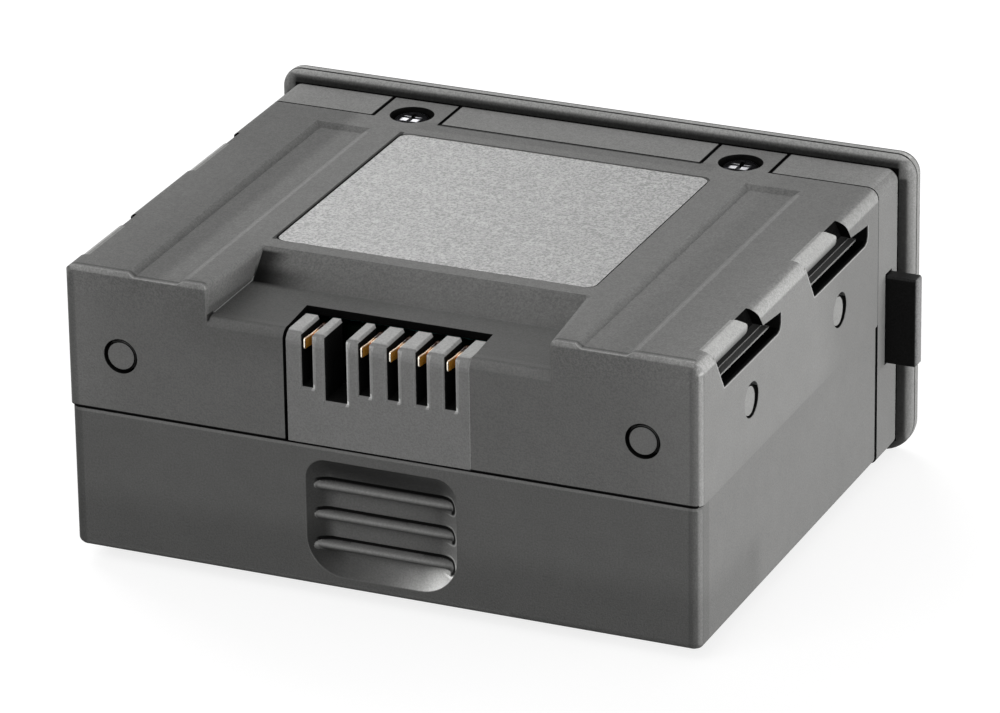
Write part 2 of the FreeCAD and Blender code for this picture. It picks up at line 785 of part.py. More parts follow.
def slot_cutter(x, width, floor):
    # Slot open to the top and to the contact face: sloped lead-in, bevelled upper and back edges
    half = width / 2
    top = comb_top + past
    edge = comb_top - fin_bevel
    back = comb_fin_depth
    slot = box(x - half, -past, floor, x + half, comb_depth + past, top)
    wires = []
    for y, left, right, low in ((0, lead_left, lead_right, lead_low), (lead_depth, 0, 0, 0)):
        corners = [
            Vector(x - half - left, y, floor - low),
            Vector(x + half + right, y, floor - low),
            Vector(x + half + right, y, top),
            Vector(x - half - left, y, top),
        ]
        wires.append(Part.makePolygon(corners + corners[:1]))
    lead = Part.makeLoft(wires, True, True)
    spread = fin_bevel + past
    wide = half + spread
    bevel = [(x - half, 0, edge), (x + half, 0, edge), (x + wide, 0, top), (x - wide, 0, top)]
    corner = [
        (x - half, back - fin_back, floor),
        (x + half, back - fin_back, floor),
        (x + half + fin_back, back, floor),
        (x - half - fin_back, back, floor),
    ]
    return fuse([slot, lead, prism(bevel, Vector(0, back, 0)), prism(corner, Vector(0, 0, top - floor))])


def stem_hole(x):
    half = stem_width / 2
    back = comb_fin_depth
    return box(x - half, back - stem_depth, seam_height + tail_height, x + half, back, slot_floor + past)


def make_contact(place):
    # Forked contact: two upright leaves with sloped tips, a bridge, a stem and a tail to the board
    top = comb_top - leaf_top_gap
    low = top - leaf_height
    back = comb_fin_depth - stem_depth
    outer = leaf_pinch + leaf_thick
    end = back + leaf_thick
    leaf = prism(
        [
            (leaf_pinch, leaf_front, low + leaf_nose),
            (leaf_pinch, leaf_front, top - leaf_nose),
            (leaf_pinch, leaf_front + leaf_nose, top),
            (leaf_pinch, end, top),
            (leaf_pinch, end, low),
            (leaf_pinch, leaf_front + leaf_nose, low),
        ],
        Vector(leaf_thick, 0, 0),
    )
    bridge = box(-outer, back, low, outer, end, top)
    half = stem_width / 2
    stem = box(-half, back, seam_height + tail_height, half, comb_fin_depth, top)
    tail = box(-half, back, slot_floor, half, board_front, slot_floor + tail_height)
    contact = fuse([leaf, mirrored(leaf), bridge, stem, tail])
    return contact.translated(Vector(place * slot_pitch, 0, 0))


def make_label():
    bed = case_height - label_recess
    return rounded_plate(label_half, label_start, label_end, label_radius, bed, bed + label_thick)


def make_cover_screws():
    screws = []
    seat = case_height - screw_bore_depth
    for x, y in screw_spots():
        head = rod(screw_head_radius, screw_head_height, x, y, seat, Vector(0, 0, 1))
        head = head.makeFillet(screw_head_height / 3, [head.Edges[0]])
        shank = rod(screw_radius, screw_length, x, y, seat, Vector(0, 0, -1))
        crown = seat + screw_head_height
        half = cross_length / 2
        arm = cross_width / 2
        cross = box(x - half, y - arm, crown - cross_depth, x + half, y + arm, crown + past)
        cross = cross.fuse(box(x - arm, y - half, crown - cross_depth, x + arm, y + half, crown + past))
        screws.append(head.fuse(shank).cut(cross))
    return Part.makeCompound(screws)


def cell_centres():
    # In series order, weaving through the layers: (y, z, +1 when the positive end is at +X)
    centres = []
    for row in range(cell_rows):
        heights = (cell_low, cell_high) if row % 2 == 0 else (cell_high, cell_low)
        for step, z in enumerate(heights):
            centres.append((cell_first + row * cell_pitch, z, -1 if step == 0 else 1))
    return centres


def make_cell(y, z, sign):
    can = rod(cell_radius, cell_length - cell_button_height, -cell_half, y, z, Vector(1, 0, 0))
    button = rod(cell_button_radius, cell_length, -cell_half, y, z, Vector(1, 0, 0))
    groove_x = cell_half - cell_button_height - cell_crimp_place
    ring = rod(cell_radius + past, cell_crimp, groove_x, y, z, Vector(1, 0, 0))
    ring = ring.cut(rod(cell_radius - cell_crimp, cell_crimp, groove_x, y, z, Vector(1, 0, 0)))
    cell = can.fuse(button).cut(ring)
    return cell if sign > 0 else mirrored(cell)


def make_holder():
    inner = cell_half + holder_web - holder_depth
    plate = box(inner, holder_front, wall, link_face, holder_back, holder_top)
    cutters = []
    socket = cell_radius + cell_clear
    along = Vector(1, 0, 0)
    for y, z, _ in cell_centres():
        cutters.append(rod(socket, cell_half - inner + past, inner - past, y, z, along))
        cutters.append(rod(holder_window, holder_depth + 2 * past, inner - past, y, z, along))
    return cut(plate, cutters)


def make_link(spots):
    # Strip over one or two cell ends at the right side, with a dimple pressed in to each end
    pieces = []
    along = Vector(1, 0, 0)
    dimple_length = link_face - cell_half + link_thick
    for y, z in spots:
        pieces.append(rod(link_half_width, link_thick, link_face, y, z, along))
        pieces.append(rod(link_dimple, dimple_length, cell_half, y, z, along))
    if len(spots) == 2:
        (y0, z0), (y1, z1) = spots
        across = link_half_width if z0 != z1 else 0
        upright = link_half_width if z0 == z1 else 0
        pieces.append(box(link_face, min(y0, y1) - across, min(z0, z1) - upright, link_face + link_thick,
                          max(y0, y1) + across, max(z0, z1) + upright))
    return fuse(pieces)


def make_terminal(spot):
    # End link with an ear that carries the lead to the board
    y, z = spot
    reach = link_face + link_thick + sheet_thick + 2 * lead_radius
    ear = box(link_face, y - link_thick, z - lead_radius, reach, y, z + lead_radius)
    return fuse([make_link([spot]), ear])


def make_lead(spot):
    y, z = spot
    x = sheet_face + sheet_thick + lead_radius
    return rod(lead_radius, y - link_thick - board_back, x, board_back, z, Vector(0, 1, 0))


def make_sheet(ears):
    sheet = box(sheet_face, holder_front, wall, sheet_face + sheet_thick, holder_back, holder_top)
    slots = []
    half = lead_radius + sheet_slot
    far = sheet_face + sheet_thick + past
    for y, z in ears:
        slots.append(box(sheet_face - past, y - half, z - half, far, y + half, z + half))
    return cut(sheet, slots) if slots else sheet


def make_foam_pad():
    start = recess_depth + 3 * recess_wall
    return box(-foam_half, start, cell_high + cell_radius, foam_half, holder_back, roof_under)


def make_board():
    return box(-board_half, board_front, wall, board_half, board_back, recess_under - board_top_gap)


def make_transistors():
    half = transistor_size / 2
    return Part.makeCompound([
        box(x - half, board_back, transistor_height, x + half, board_back + transistor_thick,
            transistor_height + transistor_size)
        for x in transistor_places
    ])


def make_control_chip():
    half = chip_size / 2
    return box(-half, board_back, chip_height - half, half, board_back + chip_thick, chip_height + half)


save("upper_case", make_upper_case())
save("lower_case", make_lower_case())
save("end_cover", make_end_cover())
save("cover_screws", make_cover_screws())
save("latch", make_latch())
save("latch_spring", make_latch_spring())
save("latch_keeper", make_latch_keeper())
save("contact_comb", make_contact_comb())
for number, place in enumerate(contact_places, 1):
    save("contact_%d" % number, make_contact(place))
save("label", make_label())

centres = cell_centres()
ends = [(y, z) for y, z, _ in centres]
for number, (y, z, sign) in enumerate(centres, 1):
    save("cell_%d" % number, make_cell(y, z, sign))
save("right_cell_holder", make_holder())
save("left_cell_holder", mirrored(make_holder()))
for number in range(1, len(ends) - 1, 2):
    save("right_link_%d" % ((number + 1) // 2), make_link(ends[number:number + 2]))
for number in range(0, len(ends), 2):
    save("left_link_%d" % (number // 2 + 1), mirrored(make_link(ends[number:number + 2])))
save("negative_terminal", make_terminal(ends[0]))
save("positive_terminal", make_terminal(ends[-1]))
save("negative_lead", make_lead(ends[0]))
save("positive_lead", make_lead(ends[-1]))
save("right_insulator", make_sheet([ends[0], ends[-1]]))
save("left_insulator", mirrored(make_sheet([])))
save("foam_pad", make_foam_pad())
save("protection_board", make_board())
save("power_transistors", make_transistors())
save("control_chip", make_control_chip())
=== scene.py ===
import math

import bpy
import numpy as np
from mathutils import Matrix, Vector


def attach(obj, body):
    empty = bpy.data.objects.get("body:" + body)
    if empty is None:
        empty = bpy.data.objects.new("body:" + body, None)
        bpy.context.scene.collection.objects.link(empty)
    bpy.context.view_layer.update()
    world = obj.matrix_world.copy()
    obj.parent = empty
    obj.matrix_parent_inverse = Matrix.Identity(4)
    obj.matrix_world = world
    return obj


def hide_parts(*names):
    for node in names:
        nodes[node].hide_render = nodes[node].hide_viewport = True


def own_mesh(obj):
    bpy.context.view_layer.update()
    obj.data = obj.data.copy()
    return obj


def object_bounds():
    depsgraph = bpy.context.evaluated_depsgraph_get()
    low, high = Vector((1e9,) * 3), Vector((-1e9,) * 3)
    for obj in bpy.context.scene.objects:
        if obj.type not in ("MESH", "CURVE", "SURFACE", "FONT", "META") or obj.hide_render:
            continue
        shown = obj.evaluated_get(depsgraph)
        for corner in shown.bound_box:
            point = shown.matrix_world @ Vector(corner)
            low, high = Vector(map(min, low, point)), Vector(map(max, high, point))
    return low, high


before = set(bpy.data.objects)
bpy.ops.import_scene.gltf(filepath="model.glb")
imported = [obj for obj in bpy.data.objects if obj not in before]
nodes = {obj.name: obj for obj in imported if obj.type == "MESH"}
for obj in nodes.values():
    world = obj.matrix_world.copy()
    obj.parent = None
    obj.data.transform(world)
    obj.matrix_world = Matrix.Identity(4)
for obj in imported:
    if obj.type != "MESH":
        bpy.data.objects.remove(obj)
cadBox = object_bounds()
print("frame loaded,", len(nodes), "nodes")

faceY = cadBox[0][1] * 1000.0  # contact face in millimetres, all drawing sizes count from it
plainSoft = 0.08  # soft width in millimetres of a zone that names none
white = (1, 1, 1, 1)
mixSockets = {"FLOAT": (2, 3, 0), "RGBA": (6, 7, 2)}  # two inputs and the output of a mix node


# helpers for node trees; patterns are worked out in millimetres of the object's own frame
def newMaterial(name):
    # empty material with its node tree and its shader
    mat = bpy.data.materials.new(name)
    mat.use_nodes = True
    tree = mat.node_tree
    return mat, tree, tree.nodes["Principled BSDF"]


def addNode(tree, kind, **settings):
    # settings are input values or, where the node has no such input, properties
    node = tree.nodes.new(kind)
    for key, value in settings.items():
        if key in node.inputs:
            node.inputs[key].default_value = value
        else:
            setattr(node, key, value)
    return node


def plug(tree, source, target):
    # a number or colour becomes the input's value, an output is linked to it
    if isinstance(source, (int, float, tuple)):
        target.default_value = source
    else:
        tree.links.new(source, target)


def mathNode(tree, operation, first, second, clamp=False):
    # one operation on two numbers or outputs
    node = addNode(tree, "ShaderNodeMath", operation=operation, use_clamp=clamp)
    plug(tree, first, node.inputs[0])
    plug(tree, second, node.inputs[1])
    return node.outputs[0]


def millimetres(tree):
    # place in the object's frame in millimetres, as a vector and by axis
    coord = addNode(tree, "ShaderNodeTexCoord")
    scaled = addNode(tree, "ShaderNodeVectorMath", operation="SCALE", Scale=1000.0)
    plug(tree, coord.outputs["Object"], scaled.inputs[0])
    split = addNode(tree, "ShaderNodeSeparateXYZ")
    plug(tree, scaled.outputs[0], split.inputs[0])
    return scaled.outputs[0], {axis: split.outputs[axis.upper()] for axis in "xyz"}


def ramp(tree, source, low, high):
    # smooth step from 0 at low to 1 at high, flat outside
    node = addNode(tree, "ShaderNodeMapRange", interpolation_type="SMOOTHSTEP")
    plug(tree, source, node.inputs["Value"])
    plug(tree, low, node.inputs["From Min"])
    plug(tree, high, node.inputs["From Max"])
    return node.outputs["Result"]


def between(tree, source, low, high):
    # straight line: low where the source is 0, high where it is 1
    node = addNode(tree, "ShaderNodeMapRange")
    plug(tree, source, node.inputs["Value"])
    plug(tree, low, node.inputs["To Min"])
    plug(tree, high, node.inputs["To Max"])
    return node.outputs["Result"]


def blend(tree, kind, share, first, second):
    # first where the share is 0, second where it is 1
    node = addNode(tree, "ShaderNodeMix", data_type=kind)
    firstIn, secondIn, out = mixSockets[kind]
    plug(tree, share, node.inputs[0])
    plug(tree, first, node.inputs[firstIn])
    plug(tree, second, node.inputs[secondIn])
    return node.outputs[out]


def boxMask(tree, axes, zone):
    # 1 inside a box of the drawing, falling to 0 over the soft width outside its walls
    soft = zone.get("soft", plainSoft)
    result = None
    for axis in "xyz":
        if axis not in zone:
            continue
        low, high = zone[axis]
        place, under, over = axes[axis], soft, soft
        if axis == "x":
            under, over = zone.get("softX", (soft, soft))
            if zone.get("mirror"):
                place = mathNode(tree, "ABSOLUTE", place, 0.0)
        if axis == "y":
            low, high = low + faceY, high + faceY
        for value in (ramp(tree, place, low - under, low), ramp(tree, place, high + over, high)):
            result = value if result is None else mathNode(tree, "MULTIPLY", result, value)
    return result


def noise(tree, vector, scale, detail=2.0, rough=0.6):
    # cloudy noise between 0 and 1, scale in waves per millimetre
    node = addNode(tree, "ShaderNodeTexNoise", Scale=scale, Detail=detail, Roughness=rough)
    plug(tree, vector, node.inputs["Vector"])
    return node.outputs["Fac"]


def scaleBy(tree, factor, source, slope, offset):
    # factor times (source times slope plus offset)
    node = addNode(tree, "ShaderNodeMath", operation="MULTIPLY_ADD")
    for target, value in zip(node.inputs, (source, slope, offset)):
        plug(tree, value, target)
    return mathNode(tree, "MULTIPLY", factor, node.outputs[0])


def wobble(tree, factor, source, amount):
    # factor times 1 plus or minus amount, following a noise that lies between 0 and 1
    return scaleBy(tree, factor, source, 2.0 * amount, 1.0 - amount)


def applyZones(tree, factor, axes, zones):
    # factor times each zone's gain inside its box, unchanged outside
    for zone in zones:
        factor = scaleBy(tree, factor, boxMask(tree, axes, zone), zone["gain"] - 1.0, 1.0)
    return factor


def tint(tree, colour, factor, target):
    # colour times factor
    node = addNode(tree, "ShaderNodeVectorMath", operation="SCALE")
    plug(tree, colour, node.inputs[0])
    plug(tree, factor, node.inputs["Scale"])
    plug(tree, node.outputs[0], target)


def addBump(tree, bsdf, height, strength, depth):
    # height of 1 stands depth millimetres above height of 0
    node = addNode(tree, "ShaderNodeBump", Strength=strength, Distance=depth / 1000.0)
    plug(tree, height, node.inputs["Height"])
    plug(tree, node.outputs["Normal"], bsdf.inputs["Normal"])


def dress(nodeName, mat):
    # one material for a solid, whose mesh stays as it is
    mesh = nodes[nodeName].data
    mesh.materials.clear()
    mesh.materials.append(mat)


# helpers for surfaces
def buildSurface(name, grids, mat, body, closed=False, shades=None):
    # quads between neighbouring points of each grid (rows, columns, xyz), in drawing millimetres
    points, quads, first = [], [], 0
    for grid in grids:
        rows, cols = grid.shape[:2]
        index = np.arange(first, first + rows * cols).reshape(rows, cols)
        if closed:
            index = np.concatenate([index, index[:, :1]], axis=1)
        corners = [index[:-1, :-1], index[:-1, 1:], index[1:, 1:], index[1:, :-1]]
        quads.append(np.stack(corners, axis=-1).reshape(-1, 4))
        points.append(grid.reshape(-1, 3))
        first += rows * cols
    points = (np.concatenate(points) + (0, faceY, 0)) * 0.001
    quads = np.concatenate(quads)
    mesh = bpy.data.meshes.new(name)
    mesh.from_pydata(points.tolist(), [], quads.tolist())
    mesh.polygons.foreach_set("use_smooth", np.ones(len(quads), dtype=bool))
    if shades is not None:
        values = np.concatenate([shade.ravel() for shade in shades]).astype(np.float32)
        mesh.attributes.new("shade", "FLOAT", "POINT").data.foreach_set("value", values)
    mesh.materials.append(mat)
    mesh.update()
    piece = bpy.data.objects.new(name, mesh)
    bpy.context.collection.objects.link(piece)
    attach(piece, body)
    return piece


def smooth(low, high, value):
    # smooth step from 0 at low to 1 at high, flat outside
    share = np.clip((value - low) / (high - low), 0, 1)
    return share * share * (3 - 2 * share)


def gridOf(x, y, z):
    # points from three arrays that are stretched to one shape
    return np.stack(np.broadcast_arrays(x, y, z), axis=-1)


def alongLine(corners, count):
    # straight from corner to corner, with the points at even shares of the way
    corners = np.array(corners)
    share = np.linspace(0, len(corners) - 1, count)
    return np.stack([np.interp(share, np.arange(len(corners)), column) for column in corners.T], axis=-1)


def capped(grid):
    # tube closed by drawing its first and last rings together to their middles
    ends = np.repeat(grid[[0, -1]].mean(axis=1, keepdims=True), grid.shape[1], axis=1)
    return np.concatenate([ends[:1], grid, ends[1:]])


# moulded plastic with a spark-eroded skin: fine grain, specks, slow clouds, painted highlights on edges,
# painted shade in hollows
casePlastic = {
    "colour": (0.158, 0.158, 0.155),
    "roughness": 0.65,
    "roughSwing": 0.08,
    "grain": 3.4,               # grains per millimetre
    "grainNoise": (3.0, 0.7),   # detail and roughness of the noise
    "grainEdges": (0.3, 0.7),   # noise values that become 0 and 1
    "grainTone": 0.11,
    "grainDepth": 0.035,        # millimetres
    "grainBump": 0.8,
    "spark": 1.7,               # coarser specks
    "sparkNoise": (3.0, 0.8),
    "sparkEdges": (0.35, 0.65),
    "sparkTone": 0.09,
    # the specks are the skin's own texture, but keeping them to the top is painted sparkle of light on the
    # grain
    "sparkRise": (38.0, 44.0),  # heights between which the specks come in
    "mottle": 0.35,
    "mottleDetail": 3.0,
    "mottleTone": 0.07,
    "cloud": 0.045,
    "cloudDetail": 2.0,
    "cloudTone": 0.05,
    "specular": 0.04,
}


def makePlastic(name, spec, hollows=(), edges=(), shaded=False):
    # colour times grain, specks near the top (painted sparkle), the piece's painted light and shade from its
    # shade attribute, two sizes of cloud and the zones' painted shade and highlights; the grain drives bump
    # and roughness too
    mat, tree, bsdf = newMaterial(name)
    vector, axes = millimetres(tree)
    grain = ramp(tree, noise(tree, vector, spec["grain"], *spec["grainNoise"]), *spec["grainEdges"])
    factor = wobble(tree, 1.0, grain, spec["grainTone"])
    speck = ramp(tree, noise(tree, vector, spec["spark"], *spec["sparkNoise"]), *spec["sparkEdges"])
    level = ramp(tree, axes["z"], *spec["sparkRise"])
    specks = blend(tree, "FLOAT", level, 1.0, wobble(tree, 1.0, speck, spec["sparkTone"]))
    factor = mathNode(tree, "MULTIPLY", factor, specks)
    if shaded:
        shade = addNode(tree, "ShaderNodeAttribute", attribute_name="shade")
        factor = mathNode(tree, "MULTIPLY", factor, shade.outputs["Fac"])
    for kind in ("mottle", "cloud"):
        cloud = noise(tree, vector, spec[kind], spec[kind + "Detail"])
        factor = wobble(tree, factor, cloud, spec[kind + "Tone"])
    factor = applyZones(tree, factor, axes, (*edges, *hollows))
    tint(tree, spec["colour"], factor, bsdf.inputs["Base Color"])
    addBump(tree, bsdf, grain, spec["grainBump"], spec["grainDepth"])
    rough, swing = spec["roughness"], spec["roughSwing"]
    plug(tree, between(tree, grain, rough - swing, rough + swing), bsdf.inputs["Roughness"])
    plug(tree, spec["specular"], bsdf.inputs["Specular IOR Level"])
    return mat


# zones of the case, in drawing millimetres: gain below 1 paints shade, above 1 paints highlights and light
notchStarts = (8.85, 44.35)
comb = {
    "pitch": 4.5,
    "plain": (0.85, 31.5),  # half width and lower end of a slot
    "key": (1.7, 29.8),
    "row": ("plain", "key", "plain", "plain", "plain", "plain"),
}
slotMiddles = [(index - (len(comb["row"]) - 1) / 2) * comb["pitch"] for index in range(len(comb["row"]))]


def atNotches(zones):
    # the same zones at both notches, y counts from each notch's start
    return [dict(zone, y=tuple(start + y for y in zone["y"])) for start in notchStarts for zone in zones]


# painted shade: near-black in holes, slots and seam gaps, darker on the recess, its slope and corner, and
# beside edges
upperPaintedShading = [
    dict(x=(-14.86, 14.506), y=(-1, 8.5), z=(20, 46), gain=0.02, soft=0.006),  # behind the comb
    dict(x=(38.3, 43.9), y=(0.1, 3), z=(28.5, 34.9), gain=0.05, mirror=True),  # holes of the front studs
    dict(x=(-27.2, 27.2), y=(1.2, 12.6), z=(39.6, 41.1), gain=0.73, soft=0.5),  # floor of the recess
    dict(x=(-27.2, -8), y=(1.2, 12.6), z=(39.6, 41.1), gain=0.86, soft=9.0),  # its left part
    dict(x=(-51, -36), y=(1.5, 70), z=(43.5, 46), gain=0.8, soft=2.0),  # left border of the top
    dict(x=(-25.55, -24.7), y=(13, 17.2), z=(40.9, 44.3), gain=0.13, soft=0.4, softX=(0.06, 4.6)),  # slope
    dict(x=(-25.75, -23), y=(13, 17.2), z=(40.9, 41.9), gain=0.33, soft=1.4, softX=(0.06, 8.5)),  # its foot
    dict(x=(-27.0, -26.85), y=(0.5, 2.0), z=(38.9, 40.2), gain=0.2, soft=0.25),  # recess's front corner
    dict(x=(27.5, 48.8), y=(0.95, 1.2), z=(43.2, 46), gain=0.62, soft=0.25, mirror=True),  # behind the edge
    dict(x=(48.4, 49.35), y=(-1, 0.4), z=(20, 43.6), gain=0.78, soft=0.35, mirror=True),  # beside the corners
    dict(x=(-25.75, -25.1), y=(20, 66), z=(44.5, 46), gain=0.2, soft=0.05),  # label's left edge
    dict(x=(-21.6, 21.6), y=(70.4, 70.75), z=(44.4, 46), gain=0.25, soft=0.12),  # seam at the cover
    dict(x=(-24, 24), y=(68.4, 70.8), z=(44.4, 46), gain=0.85, soft=0.8),  # strip in front of it
    dict(x=(21.7, 32.4), y=(70.9, 79.6), z=(40, 44.93), gain=0.04, soft=0.05, mirror=True),  # round the pads
    dict(y=(-1, 0.4), z=(22.5, 22.93), gain=0.05, soft=0.04),  # seam between the halves
] + atNotches([
    dict(x=(44, 49.8), y=(-3, 22.3), z=(35, 41.2), gain=0.03, soft=0.12, mirror=True),  # undercut
    dict(x=(44, 49.85), y=(7.8, 12.4), z=(43, 44.85), gain=0.03, soft=0.1, mirror=True),  # mouth
    dict(x=(44, 49.8), y=(7.8, 15.2), z=(40, 43.1), gain=0.04, soft=0.12, mirror=True),  # mouth's foot
    # painted highlight: the lit line along the sill
    dict(x=(46.9, 48.2), y=(0, 22), z=(37.97, 38.4), gain=34.0, soft=0.02, mirror=True),  # line on the sill
    dict(x=(46, 49.9), y=(7, 13.6), z=(27, 33), gain=0.04, mirror=True),  # hole of the side stud
])
# painted highlights on rounded edges, corners and channel edges, painted light on the middle of the top and
# the near part of the sides
upperPaintedLight = [
    dict(x=(-48.8, 48.8), y=(-1, 0.35), z=(44.4, 46), gain=1.7, soft=0.25),  # front edge of the top
    dict(x=(49.45, 51), z=(43.2, 46), gain=1.65, soft=0.5, mirror=True),  # long edges of the top
    dict(x=(49.5, 51), y=(0.44, 0.95), z=(20, 43.2), gain=1.4, soft=0.2, mirror=True),  # upright corners
    dict(x=(-30.75, -30.35), y=(1, 64), z=(44.9, 46), gain=1.3, soft=0.2),  # edge of the left channel
    dict(x=(39.5, 39.95), y=(1, 64), z=(44.9, 46), gain=1.3, soft=0.2),  # edge of the right channel
    dict(x=(-33, 33), y=(4, 71), z=(42.9, 46), gain=1.1, soft=3.0),  # middle of the top
    dict(x=(-27, 27), y=(0.15, 2.4), z=(38.6, 40.3), gain=1.05, soft=0.2),  # rounded front of the recess
    dict(x=(49.6, 51), y=(-1, 45), z=(27, 43), gain=1.18, soft=12.0, mirror=True),  # near part of the sides
] + atNotches([
    dict(x=(47.9, 48.6), y=(-4.3, 7.4), z=(44.5, 45.2), gain=1.7, soft=0.05, mirror=True),  # edge at the bar
])
# painted shade: near-black behind the comb and in its slots
combPaintedShade = [dict(x=(-14.6, 14.6), y=(7.15, 9), z=(28, 39.9), gain=0.03, soft=0.1)]  # back of the comb
# painted highlights on the teeth's rounded fronts, tops and slot edges
combPaintedLight = [
    dict(y=(-1, 0.6), z=(38.2, 41), gain=1.15, soft=0.3),  # rounded upper front
    dict(y=(1.2, 7.2), z=(39.5, 41), gain=1.75, soft=0.3),  # tops of the teeth
    dict(x=(-5.08, -4.75), y=(0.04, 0.6), z=(29.8, 41), gain=1.5, soft=0.08),  # right edge of the key slot
]
for middle, kind in zip(slotMiddles, comb["row"]):
    half, low = comb[kind]
    wall = middle + half
    edge = wall - 0.02
    slotSpan = (middle - half - 0.03, wall + 0.03)
    # painted shade in each slot, painted highlights on its right slope, inner edge and foot
    combPaintedShade.append(dict(x=slotSpan, y=(0.5, 9), z=(28, 39.5), gain=0.03, soft=0.05))
    combPaintedLight += [
        dict(x=(edge, wall + 0.7), y=(0.04, 0.52), z=(low - 0.1, 41), gain=1.5, soft=0.06),  # right slope
        dict(x=(edge, wall + 0.3), y=(0.2, 0.52), z=(low, 41), gain=1.25, soft=0.1),  # its inner edge
        dict(x=(edge, wall + 0.35), y=(0.1, 0.52), z=(low - 0.3, low + 0.45), gain=1.9, soft=0.15),  # foot
    ]
# painted shade: near-black behind the dish, in the seam and behind the side studs, a darker front face,
# darker beside the corners and towards the floor
lowerPaintedShade = [
    dict(x=(-12.2, 12.2), y=(2.6, 4), z=(1.5, 20.5), gain=0.05, soft=0.04),  # behind the grip's dish
    dict(y=(-1, 70), z=(22.495, 23.2), gain=0.02, soft=0.004),  # inside the seam between the halves
    dict(y=(-1, 0.6), z=(22.4, 22.6), gain=0.05, soft=0.04),  # the same seam in front
    dict(x=(48.1, 49.15), y=(-1, 0.65), z=(0, 22.3), gain=0.8, soft=0.35, mirror=True),  # beside the corners
    dict(y=(-1, 3.4), gain=0.86, soft=0.4),  # front face
    dict(y=(-1, 20), z=(-1, 6), gain=0.85, soft=6.0),  # near the floor
] + atNotches([
    dict(x=(45, 49.6), y=(7, 13.6), z=(26, 36), gain=0.03, mirror=True),  # behind the side studs
])
# painted highlights on the front's edges, the upright corners and the stud faces
lowerPaintedLight = [
    dict(y=(-1, 0.6), z=(22.0, 22.3), gain=1.5, soft=0.15),  # upper edge of the front
    dict(x=(49.25, 51), y=(0.68, 1.2), z=(1, 22), gain=1.35, soft=0.2, mirror=True),  # upright corners
    dict(x=(-48, 20), y=(-1, 0.9), z=(0.75, 1.0), gain=1.25, soft=0.25),  # foot of the front
    dict(x=(38.6, 43.6), y=(0.1, 0.3), z=(29.2, 34.2), gain=1.35, mirror=True),  # front studs
] + atNotches([
    dict(x=(49.7, 50), y=(7.5, 13), z=(24, 36), gain=1.4, mirror=True),  # side studs
])
# painted shade: near-black in the groove at the lip, the seam and round the pads, darker lip grooves and lip
# foot
coverPaintedShade = [
    dict(x=(-49.85, 49.85), y=(78.98, 79.82), z=(0.15, 44.85), gain=0.04, soft=0.05),  # groove at the lip
    dict(y=(70.6, 71.0), gain=0.05, soft=0.03),  # seam at the case
    dict(x=(-60, 50.8), y=(80.82, 81.13), gain=0.15, soft=0.05, softX=(0.1, 0.6)),  # first groove of the lip
    dict(x=(-60, 50.8), y=(82.07, 82.38), gain=0.15, soft=0.05, softX=(0.1, 0.6)),  # second groove
    dict(x=(-49.5, 49.5), y=(79.7, 81), z=(44, 45.4), gain=0.16, soft=1.1),  # lip's foot at the top
    dict(x=(49, 51), y=(79.7, 81), z=(-3, 43), gain=0.35, soft=0.6, mirror=True),  # lip's foot at the sides
    dict(x=(21.18, 32.95), y=(70.9, 79.7), z=(40, 46), gain=0.04, soft=0.06, mirror=True),  # round the pads
]
# painted highlights and light on the lip's sides and upper edge and on the skirt's top and sides
coverPaintedLight = [
    dict(x=(51.4, 53), gain=1.4, soft=0.7, mirror=True),  # lip's sides
    dict(x=(-49, 49), y=(71.2, 79.0), z=(44.4, 46), gain=1.3, soft=0.2),  # top of the skirt
    dict(y=(79.6, 84), z=(46.3, 48), gain=2.1, soft=0.35),  # lip's upper edge
    dict(x=(49.5, 50.2), y=(70, 79.5), z=(30, 46), gain=1.12, soft=8.0, mirror=True),  # sides of the skirt
]

dress("upper_case", makePlastic("UpperCasePlastic", casePlastic, upperPaintedShading, upperPaintedLight))
dress("lower_case", makePlastic("LowerCasePlastic", casePlastic, lowerPaintedShade, lowerPaintedLight))
dress("end_cover", makePlastic("EndCoverPlastic", casePlastic, coverPaintedShade, coverPaintedLight))
combPlastic = dict(casePlastic, colour=(0.225, 0.225, 0.222), sparkTone=0.16)
dress("contact_comb", makePlastic("CombPlastic", combPlastic, combPaintedShade, combPaintedLight))

latchPlastic = dict(
    casePlastic, colour=(0.008, 0.008, 0.008), roughness=0.42, grainTone=0.25, grainDepth=0.012,
)
# painted reflection of light on the black end face, painted highlight on the upper edge
latchPaintedLight = [
    dict(x=(54.9, 56), gain=22.0, soft=0.3),  # end face
    dict(x=(50.2, 54.5), z=(29.3, 30), gain=4.0, soft=0.2),  # upper edge
]
dress("latch", makePlastic("LatchPlastic", latchPlastic, (), latchPaintedLight))
innerPlastic = dict(casePlastic, colour=(0.03, 0.03, 0.03), roughness=0.5)
for nodeName in ("latch_keeper", "right_cell_holder", "left_cell_holder"):
    dress(nodeName, makePlastic("InnerPlastic." + nodeName, innerPlastic))
print("plastic done")

